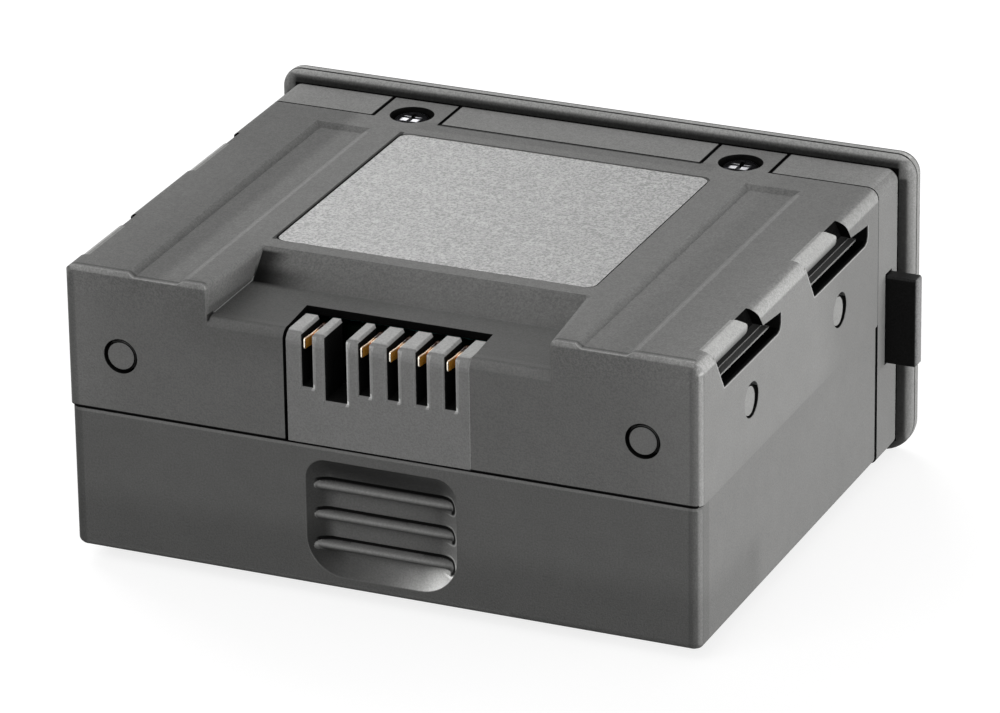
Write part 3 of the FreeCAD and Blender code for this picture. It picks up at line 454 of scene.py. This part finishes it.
# thumb grip: smooth dish with ribs, laid a little in front of the solid's facets, carrying painted light and
# shade
grip = {
    "half": 12.0, "low": 2.0, "high": 20.4, "lowRadius": 6.0, "topRadius": 3.3,
    "radiusLoss": 0.9, "leastRadius": 0.002,  # loss for each millimetre of inset
    "front": 0.25, "overlap": 0.06, "slope": 3.4, "depth": 2.2,  # slope is the rim's width
    "lift": 0.1, "liftEnd": 0.12, "proud": 0.012,  # distance in front of the solid
    "ribs": 3, "ribStart": 4.75, "ribPitch": 4.7, "ribHalf": 11.05, "ribRadius": 0.66, "ribBack": 0.98,
    "groove": 0.6, "grooveDepth": 0.07, "grooveFrom": (1.5, 1.9),  # depths of the dish where it comes in
    "grooveInner": (-0.05, 0.08), "grooveOuter": 0.1,  # soft edges, from the rib and from the far side
    # painted shade in the groove above each rib
    "grooveUp": (-0.1, 0.3), "grooveRight": (0, 0.4), "grooveLeft": (-0.1, 0.5), "paintedGrooveShade": 0.97,
    # painted highlight: light line outside the groove
    "rimPeak": 0.1, "rimEnd": 0.35, "paintedRimLight": 1.2, "rimFrom": (-2, -0.5),  # light line outside the groove
    # painted highlight on each rib's crest, painted shade on its lower half
    "ribTone": 0.85, "paintedCrestLight": 0.75, "crestRise": 0.2, "crestWidth": 0.28, "paintedUnderShade": 0.5,
    "tone": 0.9, "toneStart": 0.03, "steepPower": 0.7,
    # painted shade on the dish's top, left and lower left slopes
    "paintedShade": (  # way inwards (x, z), power, strength, insets where it ends and where it is full
        ((0, -1), 1, 0.72, 4.8, 3.2),
        ((1, 0), 1, 0.6, 3.8, 1.8),
        ((0.8, 0.6), 5, 0.6, 4.5, 2.0),
    ),
    # painted light on the slopes that face left, painted highlight in the lower right corner
    "paintedLight": ((-1, 0), 1, 0.65), "paintedCornerLight": ((-0.6, 0.8), 16, 4.5),  # way inwards, power, strength
    "arcPoints": 80, "levelPoints": 190, "uprightPoints": 110, "rings": 96,
}


def gripRings(inset):
    # outline with its own corner radius below and above, drawn in by inset (a column, one row per ring)
    arcs = []
    for turnIndex, (xSign, low) in enumerate(((1, True), (1, False), (-1, False), (-1, True))):
        radius = grip["lowRadius" if low else "topRadius"] - grip["radiusLoss"] * inset
        radius = np.maximum(radius, grip["leastRadius"])
        angle = np.radians(np.linspace(-90, 0, grip["arcPoints"]) + 90 * turnIndex)
        centreX = xSign * (grip["half"] - inset - radius)
        centreZ = grip["low"] + inset + radius if low else grip["high"] - inset - radius
        arcs.append((centreX + radius * np.cos(angle), centreZ + radius * np.sin(angle)))
    xs, zs = [], []
    for index, (x, z) in enumerate(arcs):
        nextX, nextZ = arcs[(index + 1) % 4]
        share = np.linspace(0, 1, grip["uprightPoints" if index % 2 == 0 else "levelPoints"] + 2)[1:-1]
        xs += [x, x[:, -1:] + (nextX[:, :1] - x[:, -1:]) * share]
        zs += [z, z[:, -1:] + (nextZ[:, :1] - z[:, -1:]) * share]
    return np.concatenate(xs, axis=1), np.concatenate(zs, axis=1)


def gripPaintedShading(x, z, inset, step):
    # the way from the rim to the middle tells which side of the dish a point is on; painted shade and painted
    # light go with a power of its cosine to their own way, the shade fading with the inset and the light with
    # the slope
    inward = np.stack([x[-1:] - x[:1], z[-1:] - z[:1]])
    inward = inward / np.linalg.norm(inward, axis=0)
    rimOn = smooth(0, grip["toneStart"], step)
    shade = grip["tone"]
    for way, power, strength, end, full in grip["paintedShade"]:
        facing = np.clip(np.tensordot(way, inward, 1), 0, 1) ** power
        shade = shade * (1 - strength * facing * smooth(end, full, inset) * rimOn)
    steep = (1 - step) ** grip["steepPower"] * rimOn
    way, power, strength = grip["paintedLight"]
    shade = shade * np.exp(strength * np.clip(np.tensordot(way, inward, 1), 0, 1) ** power * steep)
    way, power, strength = grip["paintedCornerLight"]
    return shade * (1 + strength * np.clip(np.tensordot(way, inward, 1), 0, 1) ** power * steep)


def makeGrip():
    # depth = parabola of the inset, less the half-round ribs, plus a groove along each rib's upper side
    inset = np.linspace(-grip["overlap"], (grip["high"] - grip["low"]) / 2, grip["rings"])[:, None]
    x, z = gripRings(inset)
    step = np.clip(inset / grip["slope"], 0, 1)
    raised = grip["lift"] * smooth(0, grip["liftEnd"], step) + grip["proud"]
    depth = grip["depth"] * step * (2 - step) - raised + 0 * x
    shade = gripPaintedShading(x, z, inset, step)
    hollow = smooth(*grip["grooveFrom"], depth)
    radius, half = grip["ribRadius"], grip["ribHalf"]
    outer = radius + grip["groove"]
    inner, right, left = (np.array(grip[key]) for key in ("grooveInner", "grooveRight", "grooveLeft"))
    for index in range(grip["ribs"]):
        rise = z - (grip["high"] - grip["ribStart"] - index * grip["ribPitch"])
        away = np.hypot(np.maximum(np.abs(x) - (half - radius), 0), rise)
        ring = smooth(*(radius + inner), away) * smooth(outer, outer - grip["grooveOuter"], away)
        ring = ring * np.maximum(smooth(*grip["grooveUp"], rise), smooth(*(half - radius + right), x))
        ring = ring * smooth(*(left - half), x)
        rimPeak, rimEnd = outer + grip["rimPeak"], outer + grip["rimEnd"]
        rim = smooth(outer, rimPeak, away) * smooth(rimEnd, rimPeak, away)
        rim = rim * smooth(*grip["rimFrom"], x - half)
        depth = depth + grip["grooveDepth"] * ring * hollow
        # painted shade in the groove, painted highlight just outside it
        shade = shade * (1 - grip["paintedGrooveShade"] * ring) * (1 + grip["paintedRimLight"] * rim)
        rib = grip["ribBack"] + radius - np.sqrt(np.maximum(radius ** 2 - away ** 2, 0))
        depth = np.where(away < radius, np.minimum(depth, rib), depth)
        # painted highlight on the crest, painted shade on the rib's lower half
        crest = np.exp(-((rise - grip["crestRise"]) / grip["crestWidth"]) ** 2)
        under = grip["paintedUnderShade"] + (1 - grip["paintedUnderShade"]) * smooth(-radius, 0, rise)
        shade = np.where(away < radius, (grip["ribTone"] + grip["paintedCrestLight"] * crest) * under, shade)
    grid = gridOf(x, grip["front"] + depth, z)
    return buildSurface("GripDish", [grid], gripMat, "pack", closed=True, shades=[shade])


gripMat = makePlastic("GripPlastic", casePlastic, shaded=True)
makeGrip()
print("grip done")

# side notches: a painted highlight bead round each opening, painted shadow liners where no light reaches, a
# bar in the mouth with painted light and shade
notch = {
    "sill": 37.85, "length": 22.1, "round": 1.2, "cut": 0.3, "tip": 40.8, "roof": 41.5, "roofStart": 15.0,
    "mouthStart": 4.4, "mouthEnd": 12.3, "side": 50.0, "cheek": 48.4, "edgeRadius": 1.8, "top": 45.0,
    "bead": 0.24, "beadLift": 0.03, "proud": 0.002, "nearShare": 0.86,  # part of the near edge with a bead
    "gap": 0.03, "topGap": 0.02, "sideGap": 0.04,  # between liners and solid
    "barEnd": 7.7, "barFar": 9.3, "barBlur": 7,
    "beadSteps": 160, "beadPoints": 6, "linerPoints": 12, "barPoints": 56, "barSteps": 40,
    # painted light and shade down the bar's face: bright at the top, near-black underneath
    "bar": (  # x, z and tone down the bar's face
        (48.3, 45.006, 2.2), (48.45, 45.006, 2.2), (49.0, 44.64, 2.3), (49.82, 44.05, 2.2),
        (49.88, 43.75, 1.7), (49.88, 43.35, 1.3), (49.84, 42.95, 0.9), (49.7, 42.5, 0.55),
        (49.2, 42.0, 0.25), (48.2, 41.2, 0.07), (46.95, 40.1, 0.02),
    ),
}


def notchRim(start, side):
    # painted highlight bead along near edge, sill and far end: half a sine across, offset along the outline's
    # normal
    end, low, bend = start + notch["length"], notch["sill"], notch["round"]
    near = notch["nearShare"]
    line = alongLine([
        (start - notch["mouthStart"] * near, low + (notch["top"] - low) * near),
        (start, low),
        (end - bend, low),
        (end - bend * notch["cut"], low + bend * notch["cut"]),
        (end, low + bend),
        (end, notch["tip"]),
    ], notch["beadSteps"])
    run = np.gradient(line, axis=0)
    run = run / np.linalg.norm(run, axis=1, keepdims=True)
    outward = np.stack([run[:, 1], -run[:, 0]], axis=-1)
    across = np.linspace(0, 1, notch["beadPoints"])
    spot = line[:, None] + outward[:, None] * (across[None, :, None] * notch["bead"])
    out = notch["side"] + notch["beadLift"] * np.sin(across * np.pi) + notch["proud"]
    return gridOf(side * out[None, :], spot[..., 0], spot[..., 1])[:, ::side]


def mouthEndAt(start, z):
    # far end of the mouth at height z: straight from the roof's start up to the mouth's end at the top
    lean = (notch["roofStart"] - notch["mouthEnd"]) / (notch["top"] - notch["roof"])
    return start + notch["mouthEnd"] + (notch["top"] - z) * lean


def notchLiners(start, side):
    # two sheets of painted shadow just off the solid: the mouth's inner wall, and its leaning far end under
    # the rounded edge
    up = np.linspace(0, 1, notch["linerPoints"])[:, None]
    along = np.linspace(0, 1, notch["linerPoints"])[None, :]
    roof, cheek, radius = notch["roof"], notch["cheek"], notch["edgeRadius"]
    near = start + notch["barEnd"]
    z = roof + (notch["top"] - notch["topGap"] - roof) * up
    wallGrid = gridOf(side * (cheek + notch["gap"]), near + (mouthEndAt(start, z) - near) * along, z)
    x = cheek + (notch["side"] - notch["sideGap"] - cheek) * along
    past = np.maximum(x - (notch["side"] - radius), 0)
    roundTop = notch["top"] - radius + np.sqrt(radius ** 2 - past ** 2)
    z = roof + (roundTop - notch["gap"] - roof) * up
    endGrid = gridOf(side * x, mouthEndAt(start, z) - notch["gap"], z)
    return [wallGrid[:, ::side], endGrid[:, ::side]]


def notchBar(start, side):
    # skin of the bar with painted light and shade down its profile: a rounded profile carried from the
    # mouth's leaning near edge to the slanted far end
    x, z, tone = alongLine(notch["bar"], notch["barPoints"]).T
    blur = np.ones(notch["barBlur"]) / notch["barBlur"]
    inside = slice(notch["barBlur"] // 2, -(notch["barBlur"] // 2))
    x[inside], z[inside], tone[inside] = [np.convolve(value, blur, "valid") for value in (x, z, tone)]
    near = start - notch["mouthStart"] * (z - notch["sill"]) / (notch["top"] - notch["sill"])
    far = start + notch["barFar"] - (notch["side"] - x)
    y = near + (far - near) * np.linspace(0, 1, notch["barSteps"])[:, None]
    return gridOf(side * x, y, z)[:, ::side], np.broadcast_to(tone, y.shape)[:, ::side]


# near-black material for sheets of painted shadow
shadowPlastic = dict(casePlastic, colour=(0.004, 0.004, 0.004), specular=0.0, grainTone=0.4)
# lighter plastic for painted highlight lines
highlightPlastic = dict(casePlastic, colour=(0.29, 0.29, 0.285))
barPlastic = dict(casePlastic, sparkTone=0.03)
spots = [(start, side) for start in notchStarts for side in (1, -1)]
rims = [notchRim(start, side) for start, side in spots]
highlightMat = makePlastic("PaintedHighlightPlastic", highlightPlastic)
buildSurface("NotchRims", rims, highlightMat, "pack")
liners = [grid for start, side in spots for grid in notchLiners(start, side)]
buildSurface("NotchLiners", liners, makePlastic("PaintedShadowLiner", shadowPlastic), "pack")
# painted light and shade down each bar, carried in its shade attribute
bars, barShading = zip(*[notchBar(start, side) for start, side in spots])
barMat = makePlastic("BarPlastic", barPlastic, shaded=True)
buildSurface("NotchBars", bars, barMat, "pack", shades=barShading)
print("notches done")

# stud faces: a black ring of painted shadow round each, widest where the hole leaves room
studs = {
    "front": 41.1, "height": 31.7, "place": 10.25, "side": 50.0, "radius": 2.3, "recess": 0.185,
    "ring": 0.2, "crescent": 0.4, "turn": 0.3, "roundPoints": 97, "acrossPoints": 5,
}


def studRing(side, y, onFront):
    # ring between the stud's edge and a circle inside it; at the sides its width follows the angle's cosine
    angle = np.linspace(0, 2 * np.pi, studs["roundPoints"])[:, None]
    inner = np.linspace(1, 0, studs["acrossPoints"])[None, :]
    width = studs["ring"] if onFront else studs["crescent"] * np.maximum(np.cos(angle - studs["turn"]), 0)
    reach = studs["radius"] - width * inner
    across, up = reach * np.cos(angle), studs["height"] + reach * np.sin(angle)
    if onFront:
        return gridOf(side * studs["front"] + across, studs["recess"], up)
    return gridOf(side * (studs["side"] - studs["recess"]), y + across, up)


rings = [studRing(side, 0, True) for side in (1, -1)]
rings += [studRing(side, start + studs["place"], False) for start, side in spots]
buildSurface("StudRings", rings, makePlastic("PaintedShadowRing", shadowPlastic), "pack")
print("studs done")

# seams that are closed tight: a strip flush with both sides, swept along the seam's line; the comb's strip
# and the recess crease are painted highlight lines
seams = {
    "CombSeam": {
        "x": (14.352, 14.498), "inset": 0.015, "low": 23.0, "floor": 39.95,
        "run": 2.3, "drop": 1.3, "back": 7.9,  # ellipse's half axes, end of the floor line
        "frontPoints": 30, "arcPoints": 16, "floorPoints": 12,
    },
    "CoverSeam": {"y": (70.62, 71.08), "x": 49.98, "low": 22.9, "high": 43.1, "dip": 0.03, "points": 40},
    "Crease": {
        "line": ((-26.98, 2.4, 40.0), (-25.92, 13.0, 41.0), (-25.56, 16.6, 44.05)), "points": 80,
        "width": 0.24, "lift": 0.05, "proud": 0.01, "way": (0, -0.6, 0.8),
    },
    "acrossPoints": 5,
}


def makeCombSeam():
    # front line, quarter of an ellipse, floor line; straight across
    spec = seams["CombSeam"]
    angle = np.linspace(0, np.pi / 2, spec["arcPoints"])
    rise = np.linspace(spec["low"], spec["floor"] - spec["drop"], spec["frontPoints"])
    back = np.linspace(spec["run"], spec["back"], spec["floorPoints"])
    y = np.concatenate([0 * rise, spec["run"] * (1 - np.cos(angle)), back]) + spec["inset"]
    bend = spec["floor"] - spec["drop"] * (1 - np.sin(angle))
    z = np.concatenate([rise, bend, np.full_like(back, spec["floor"])]) - spec["inset"]
    x = np.linspace(*spec["x"], seams["acrossPoints"])
    buildSurface("CombSeam", [gridOf(x, y[:, None], z[:, None])], highlightMat, "pack")


def makeCoverSeams():
    # upright line at each side, dipping by half a cosine across
    spec = seams["CoverSeam"]
    z = np.linspace(spec["low"], spec["high"], spec["points"])[:, None]
    y = np.linspace(*spec["y"], seams["acrossPoints"])
    dip = spec["dip"] * np.cos((y - np.mean(y)) / (y[-1] - y[0]) * np.pi)
    for side, name in ((1, "CoverSeamRight"), (-1, "CoverSeamLeft")):
        grid = gridOf(side * (spec["x"] - dip), y[::side], z)
        buildSurface(name, [grid], seamMat, "pack")


def makeCrease():
    # painted highlight line at the foot of the recess's left wall: half a sine across, straight between the
    # points
    spec = seams["Crease"]
    path = alongLine(spec["line"], spec["points"])
    across = np.linspace(0, 1, seams["acrossPoints"])[None, :, None]
    spot = path[:, None] + across * (spec["width"], 0, 0)
    spot = spot + (spec["lift"] * np.sin(across * np.pi) + spec["proud"]) * spec["way"]
    buildSurface("RecessCrease", [spot], highlightMat, "pack")


seamMat = makePlastic("SeamPlastic", casePlastic)
makeCombSeam()
makeCoverSeams()
makeCrease()
print("seams done")

# bare label film: dense salt-and-pepper speckle over a pale grey film
labelFilm = {
    "colour": (0.195, 0.195, 0.192), "roughness": 0.45,
    "speckle": (2.3, 2.0, 0.9), "speckleEdges": (0.35, 0.65), "speckleTone": 0.58,  # scale, detail, roughness
    "coarse": (0.9, 2.0), "coarseEdges": (0.3, 0.7), "coarseTone": 0.16,
    "ripple": (0.8, 2.0), "rippleBump": 0.4, "rippleDepth": 0.02,  # millimetres
}


def makeLabel():
    # colour times a fine and a coarse speckle, with a slow ripple as bump
    mat, tree, bsdf = newMaterial("LabelFilm")
    vector = millimetres(tree)[0]
    factor = 1.0
    for kind in ("speckle", "coarse"):
        speck = ramp(tree, noise(tree, vector, *labelFilm[kind]), *labelFilm[kind + "Edges"])
        factor = wobble(tree, factor, speck, labelFilm[kind + "Tone"])
    tint(tree, labelFilm["colour"], factor, bsdf.inputs["Base Color"])
    ripple = noise(tree, vector, *labelFilm["ripple"])
    addBump(tree, bsdf, ripple, labelFilm["rippleBump"], labelFilm["rippleDepth"])
    plug(tree, labelFilm["roughness"], bsdf.inputs["Roughness"])
    return mat


dress("label", makeLabel())

# metals: streaks or blotches in tone and roughness
metalNoise = {"scale": 1.0, "detail": 3.0, "roughSwing": 0.25}


def makeMetal(name, spec, zones=()):
    # colour times a noise stretched by the streak and the zones' gains, which paint glints; the noise drives
    # roughness too
    mat, tree, bsdf = newMaterial(name)
    vector, axes = millimetres(tree)
    stretch = addNode(tree, "ShaderNodeMapping", Scale=spec["streak"])
    plug(tree, vector, stretch.inputs["Vector"])
    grain = noise(tree, stretch.outputs[0], metalNoise["scale"], metalNoise["detail"])
    factor = applyZones(tree, wobble(tree, 1.0, grain, spec["tone"]), axes, zones)
    tint(tree, spec["colour"], factor, bsdf.inputs["Base Color"])
    rough, swing = spec["roughness"], metalNoise["roughSwing"]
    plug(tree, between(tree, grain, rough * (1 - swing), rough * (1 + swing)), bsdf.inputs["Roughness"])
    plug(tree, 1.0, bsdf.inputs["Metallic"])
    plug(tree, (spec.get("edgeTint", 1.0),) * 3 + (1,), bsdf.inputs["Specular Tint"])
    return mat


# colour and edge tint far darker than bare steel: painted shade in the counterbores
screwSteel = {
    "colour": (0.03, 0.03, 0.031), "edgeTint": 0.12, "roughness": 0.36,
    "streak": (3.0, 3.0, 3.0), "tone": 0.5,
}
screwGlints = [dict(x=(25.9, 28.2), y=(71.9, 73.3), gain=16.0, soft=0.5, mirror=True)]  # on each head
dress("cover_screws", makeMetal("ScrewSteel", screwSteel, screwGlints))
nickel = {"colour": (0.70, 0.68, 0.63), "roughness": 0.35, "streak": (0.5, 6.0, 0.5), "tone": 0.15}
nickelMat = makeMetal("LinkNickel", nickel)
for nodeName in nodes:
    if "link" in nodeName or "terminal" in nodeName:
        dress(nodeName, nickelMat)
print("label and metals done")

# forked contacts: leaves, stem and tail are rounded bars swept along a line
contact = {
    "top": 38.95, "height": 1.65, "thick": 0.3, "spread": 0.2, "flare": 0.23, "flareEnd": 2.8,
    "leftFront": 0.45, "rightFront": 2.7, "back": 7.2, "leafNose": 0.3,
    "stem": (23.8, 38.95), "stemWidth": 0.8, "stemDepth": 1.1, "stemNose": 0.2,
    "tail": (31.5, 32.5), "tailBack": 8.5,
    "power": 0.35, "noseWidth": 0.3, "noseHeight": 0.6, "alongPoints": 40, "roundPoints": 32,
    # deep is the colour of painted shade, shine the colour of the painted highlight
    "gold": (1.0, 0.44, 0.06, 1), "deep": (0.02, 0.002, 0.001, 1), "paintedLight": (1.0, 0.93, 0.8, 1),
    "grain": (1.6, 3.0), "grainEdges": (0.3, 0.62), "grainTone": 0.15, "roughness": (0.16, 0.30),
    "nosePaintedLight": (0.72, 0.6), "crownPaintedLight": (0.2, 0.08), "crownShare": 0.6,
    "metalEnds": (0.55, 0.85), "metal": (1.0, 0.05),  # polished nose, duller sides
    # painted shade along each bar: bright at the front, dark at the back and below the leaves
    "bright": 1.1, "frontFade": (0.7, 2.0), "frontLoss": 0.1, "backFade": (3.4, 5.0), "dark": 0.02,
    "lowFade": (36.5, 37.5),
}


def sweepBar(middle, along, wide, tall, nose):
    # rounded oblong section carried along one axis from low to high, drawn in to a blunt nose at both ends
    low, high = middle[along]
    wideAxis, tallAxis = [axis for axis in range(3) if axis != along]
    place = np.linspace(low, high, contact["alongPoints"])[:, None]
    size = np.sqrt(1 - np.clip(1 - np.minimum(place - low, high - place) / nose, 0, 1) ** 2)
    angle = np.linspace(0, 2 * np.pi, contact["roundPoints"], endpoint=False)
    cos, sin = np.cos(angle), np.sin(angle)
    across = wide / 2 * np.sign(cos) * np.abs(cos) ** contact["power"]
    up = tall / 2 * np.sign(sin) * np.abs(sin) ** contact["power"]
    narrow, short = contact["noseWidth"], contact["noseHeight"]
    grid = np.empty((len(place), len(angle), 3))
    grid[..., along] = place
    grid[..., wideAxis] = middle[wideAxis] + across * (narrow + (1 - narrow) * size)
    grid[..., tallAxis] = middle[tallAxis] + up * (short + (1 - short) * size)
    return capped(grid)


def makeGold():
    # gold where the shade is 1, a deep brown painted shade where it is 0, and a pale painted highlight at the
    # nose and the upper edge
    mat, tree, bsdf = newMaterial("ContactGold")
    vector, axes = millimetres(tree)
    shade = addNode(tree, "ShaderNodeAttribute", attribute_name="shade").outputs["Fac"]
    grain = ramp(tree, noise(tree, vector, *contact["grain"]), *contact["grainEdges"])
    lit = mathNode(tree, "MULTIPLY", shade, wobble(tree, 1.0, grain, contact["grainTone"]), True)
    colour = blend(tree, "RGBA", lit, contact["deep"], contact["gold"])
    nose = ramp(tree, axes["y"], *(faceY + y for y in contact["nosePaintedLight"]))
    crown = ramp(tree, axes["z"], *(contact["top"] - drop for drop in contact["crownPaintedLight"]))
    crown = mathNode(tree, "MULTIPLY", mathNode(tree, "MULTIPLY", crown, contact["crownShare"]), shade)
    highlightShare = mathNode(tree, "MAXIMUM", nose, crown, True)
    plug(tree, blend(tree, "RGBA", highlightShare, colour, contact["paintedLight"]), bsdf.inputs["Base Color"])
    plug(tree, between(tree, grain, *contact["roughness"]), bsdf.inputs["Roughness"])
    behind = ramp(tree, axes["y"], *(faceY + y for y in contact["metalEnds"]))
    plug(tree, between(tree, behind, *contact["metal"]), bsdf.inputs["Metallic"])
    return mat


def contactBars(x):
    # two leaves that flare apart towards the front, an upright stem behind them and a tail behind the stem
    wide, deep, nose = contact["stemWidth"], contact["stemDepth"], contact["stemNose"]
    level = contact["top"] - contact["height"] / 2
    tailLow, tailHigh = contact["tail"]
    bars = []
    for side, front in ((-1, contact["leftFront"]), (1, contact["rightFront"])):
        middle = (x + side * contact["spread"], (front, contact["back"]), level)
        leaf = sweepBar(middle, 1, contact["thick"], contact["height"], contact["leafNose"])
        flared = smooth(contact["flareEnd"], contact["leftFront"], leaf[..., 1])
        leaf[..., 0] += side * contact["flare"] * flared
        bars.append(leaf)
    bars.append(sweepBar((x, contact["back"] - deep / 2, contact["stem"]), 2, wide, deep, nose))
    tailSpan = (contact["back"] - deep, contact["tailBack"])
    bars.append(sweepBar((x, tailSpan, (tailLow + tailHigh) / 2), 1, wide, tailHigh - tailLow, nose))
    return bars


def contactShade(bar):
    # painted shade: bright in front, a little less behind the nose, dark at the back and below the leaves
    y, z = bar[..., 1], bar[..., 2]
    fade = contact["bright"] - contact["frontLoss"] * smooth(*contact["frontFade"], y)
    fade = fade - smooth(*contact["backFade"], y)
    return np.clip(fade, contact["dark"], contact["bright"]) * smooth(*contact["lowFade"], z)


goldMat = makeGold()
contactPlaces = [middle for middle, kind in zip(slotMiddles, comb["row"]) if kind == "plain"]
for number, x in enumerate(contactPlaces, 1):
    bars = contactBars(x)
    shades = [contactShade(bar) for bar in bars]
    name = "Contact%d" % number
    piece = buildSurface(name, bars, goldMat, "pack", closed=True, shades=shades)
    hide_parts("contact_%d" % number)
print("contacts done")

# latch spring: round wire on a helix, wound closer at both ends
spring = {
    "span": (36.2, 44.5), "middle": (75.5, 22.5), "radius": 1.9, "wire": 0.25, "turns": 4.0, "close": 0.1,
    "keep": 0.44, "alongPoints": 240, "roundPoints": 14,
    "colour": (0.45, 0.45, 0.46), "roughness": 0.3, "streak": (4.0, 4.0, 4.0), "tone": 0.2,
}


def makeSpring():
    # helix whose pitch varies with a sine, plus a circle of the wire's radius round it; both ends are capped
    share = np.linspace(0, 1, spring["alongPoints"])[:, None]
    around = np.linspace(0, -2 * np.pi, spring["roundPoints"], endpoint=False)[None, :]
    turn = 2 * np.pi * spring["turns"] * share
    wire = spring["wire"]
    low, high = spring["span"][0] + wire, spring["span"][1] - wire
    advance = share - spring["close"] * np.sin(2 * np.pi * share)
    x = low + (high - low) * advance + wire * np.sin(around)
    reach = spring["radius"] + wire * np.cos(around)
    middleY, middleZ = spring["middle"]
    return capped(gridOf(x, middleY + reach * np.cos(turn), middleZ + reach * np.sin(turn)))


springMat = makeMetal("SpringSteel", spring)
coil = buildSurface("LatchSpring", [makeSpring()], springMat, "pack", closed=True)
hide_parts("latch_spring")
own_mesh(coil)
print("spring done")

# pieces inside the case
sleeve = dict(
    casePlastic, colour=(0.10, 0.32, 0.30), roughness=0.35, grain=1.2, grainTone=0.08, grainDepth=0.01,
)
paper = dict(casePlastic, colour=(0.55, 0.48, 0.33), roughness=0.8, grain=1.6, grainTone=0.2)
foam = dict(casePlastic, colour=(0.04, 0.04, 0.04), roughness=0.9, grain=2.2, grainTone=0.4, grainDepth=0.2)
board = dict(casePlastic, colour=(0.03, 0.20, 0.09), roughness=0.35, grain=0.8, grainTone=0.25)
chip = dict(casePlastic, colour=(0.02, 0.02, 0.02), roughness=0.45)
leadBlack = dict(casePlastic, colour=(0.02, 0.02, 0.02), roughness=0.4)
leadRed = dict(casePlastic, colour=(0.50, 0.03, 0.03), roughness=0.4)
innerFinishes = {  # by the start of the nodes' names
    "cell_": ("CellSleeve", sleeve),
    "right_insulator": ("InsulatorPaper", paper),
    "left_insulator": ("InsulatorPaperLeft", paper),
    "foam_pad": ("Foam", foam),
    "protection_board": ("BoardGreen", board),
    "power_transistors": ("TransistorBlack", chip),
    "control_chip": ("ChipBlack", chip),
    "negative_lead": ("LeadBlack", leadBlack),
    "positive_lead": ("LeadRed", leadRed),
}
# painted shade on the board where the comb's slots let it show
boardPaintedShade = [dict(x=(-16, 16), y=(8, 12), z=(20, 45), gain=0.008)]  # what the comb's slots let through
for start, (matName, spec) in innerFinishes.items():
    mat = makePlastic(matName, spec, boardPaintedShade if spec is board else ())
    for nodeName in nodes:
        if nodeName.startswith(start):
            dress(nodeName, mat)
print("inner pieces done")


# studio: rays that are seen or mirrored meet white, light gets duller values
def seenValue(tree, hidden, shown):
    # shown for camera, transmitted and mirrored rays, hidden for the rest
    path = addNode(tree, "ShaderNodeLightPath")
    seen = mathNode(tree, "MAXIMUM", path.outputs["Is Camera Ray"], path.outputs["Is Transmission Ray"])
    seen = mathNode(tree, "MAXIMUM", seen, path.outputs["Is Glossy Ray"])
    return between(tree, seen, hidden, shown)


floorSpec = {"size": 6.0, "gap": 0.00005, "grey": 0.3, "roughness": 0.9, "glow": 0.8}
bpy.ops.mesh.primitive_plane_add(size=floorSpec["size"], location=(0, 0, cadBox[0][2] - floorSpec["gap"]))
floor = bpy.context.object
floor.name = "Floor"
mat, tree, bsdf = newMaterial("FloorWhite")
plug(tree, (floorSpec["grey"],) * 3 + (1,), bsdf.inputs["Base Color"])
plug(tree, floorSpec["roughness"], bsdf.inputs["Roughness"])
plug(tree, 0.0, bsdf.inputs["Specular IOR Level"])
plug(tree, white, bsdf.inputs["Emission Color"])
plug(tree, seenValue(tree, 0.0, floorSpec["glow"]), bsdf.inputs["Emission Strength"])
floor.data.materials.append(mat)

# lamps: a soft lamp behind at the left, a low white card at the right, a high fill in front
lamps = {
    "BackLeft": {"place": (-0.75, 0.75, 0.75), "aim": (0, 0, 0.03), "size": (0.9, 0.6), "watts": 10.3},
    "RightCard": {"place": (0.85, 0.12, 0.05), "aim": (0, 0.05, 0.03), "size": (1.1, 0.16), "watts": 13.0},
    "FrontHigh": {"place": (-0.3, -1.0, 1.0), "aim": (0, 0, 0.03), "size": (1.0, 1.0), "watts": 6.0},
}
for lampName, spec in lamps.items():
    data = bpy.data.lights.new(lampName, "AREA")
    data.shape = "RECTANGLE"
    data.size, data.size_y = spec["size"]
    data.energy = spec["watts"]
    lamp = bpy.data.objects.new(lampName, data)
    bpy.context.collection.objects.link(lamp)
    lamp.location = spec["place"]
    lamp.rotation_euler = (Vector(spec["aim"]) - Vector(spec["place"])).to_track_quat("-Z", "Y").to_euler()

# camera at the photograph's angle, in metres and degrees
cameraSpec = {
    "place": (0.374804, -0.848749, 0.420673),
    "azimuth": 23.774,
    "elevation": 23.277,
    "roll": -0.829,
    "lens": 243.734,
    "sensor": 36.0,
    "farthest": 50.0,
}
camData = bpy.data.cameras.new("PhotoCamera")
camData.lens = cameraSpec["lens"]
camData.sensor_width = cameraSpec["sensor"]
camData.clip_end = cameraSpec["farthest"]
cam = bpy.data.objects.new("PhotoCamera", camData)
bpy.context.collection.objects.link(cam)
turn = Matrix.Rotation(math.radians(cameraSpec["azimuth"]), 4, "Z")
tilt = Matrix.Rotation(math.radians(90 - cameraSpec["elevation"]), 4, "X")
roll = Matrix.Rotation(math.radians(cameraSpec["roll"]), 4, "Z")
cam.matrix_world = Matrix.Translation(cameraSpec["place"]) @ turn @ tilt @ roll
bpy.context.scene.camera = cam

worldSpec = {"light": 0.415, "seen": 1.0}
world = bpy.data.worlds.new("Studio")
bpy.context.scene.world = world
world.use_nodes = True
tree = world.node_tree
background = tree.nodes["Background"]
plug(tree, seenValue(tree, worldSpec["light"], worldSpec["seen"]), background.inputs["Strength"])
plug(tree, white, background.inputs["Color"])
bpy.context.scene.view_settings.view_transform = "Standard"
print("studio done")

print("scene done")
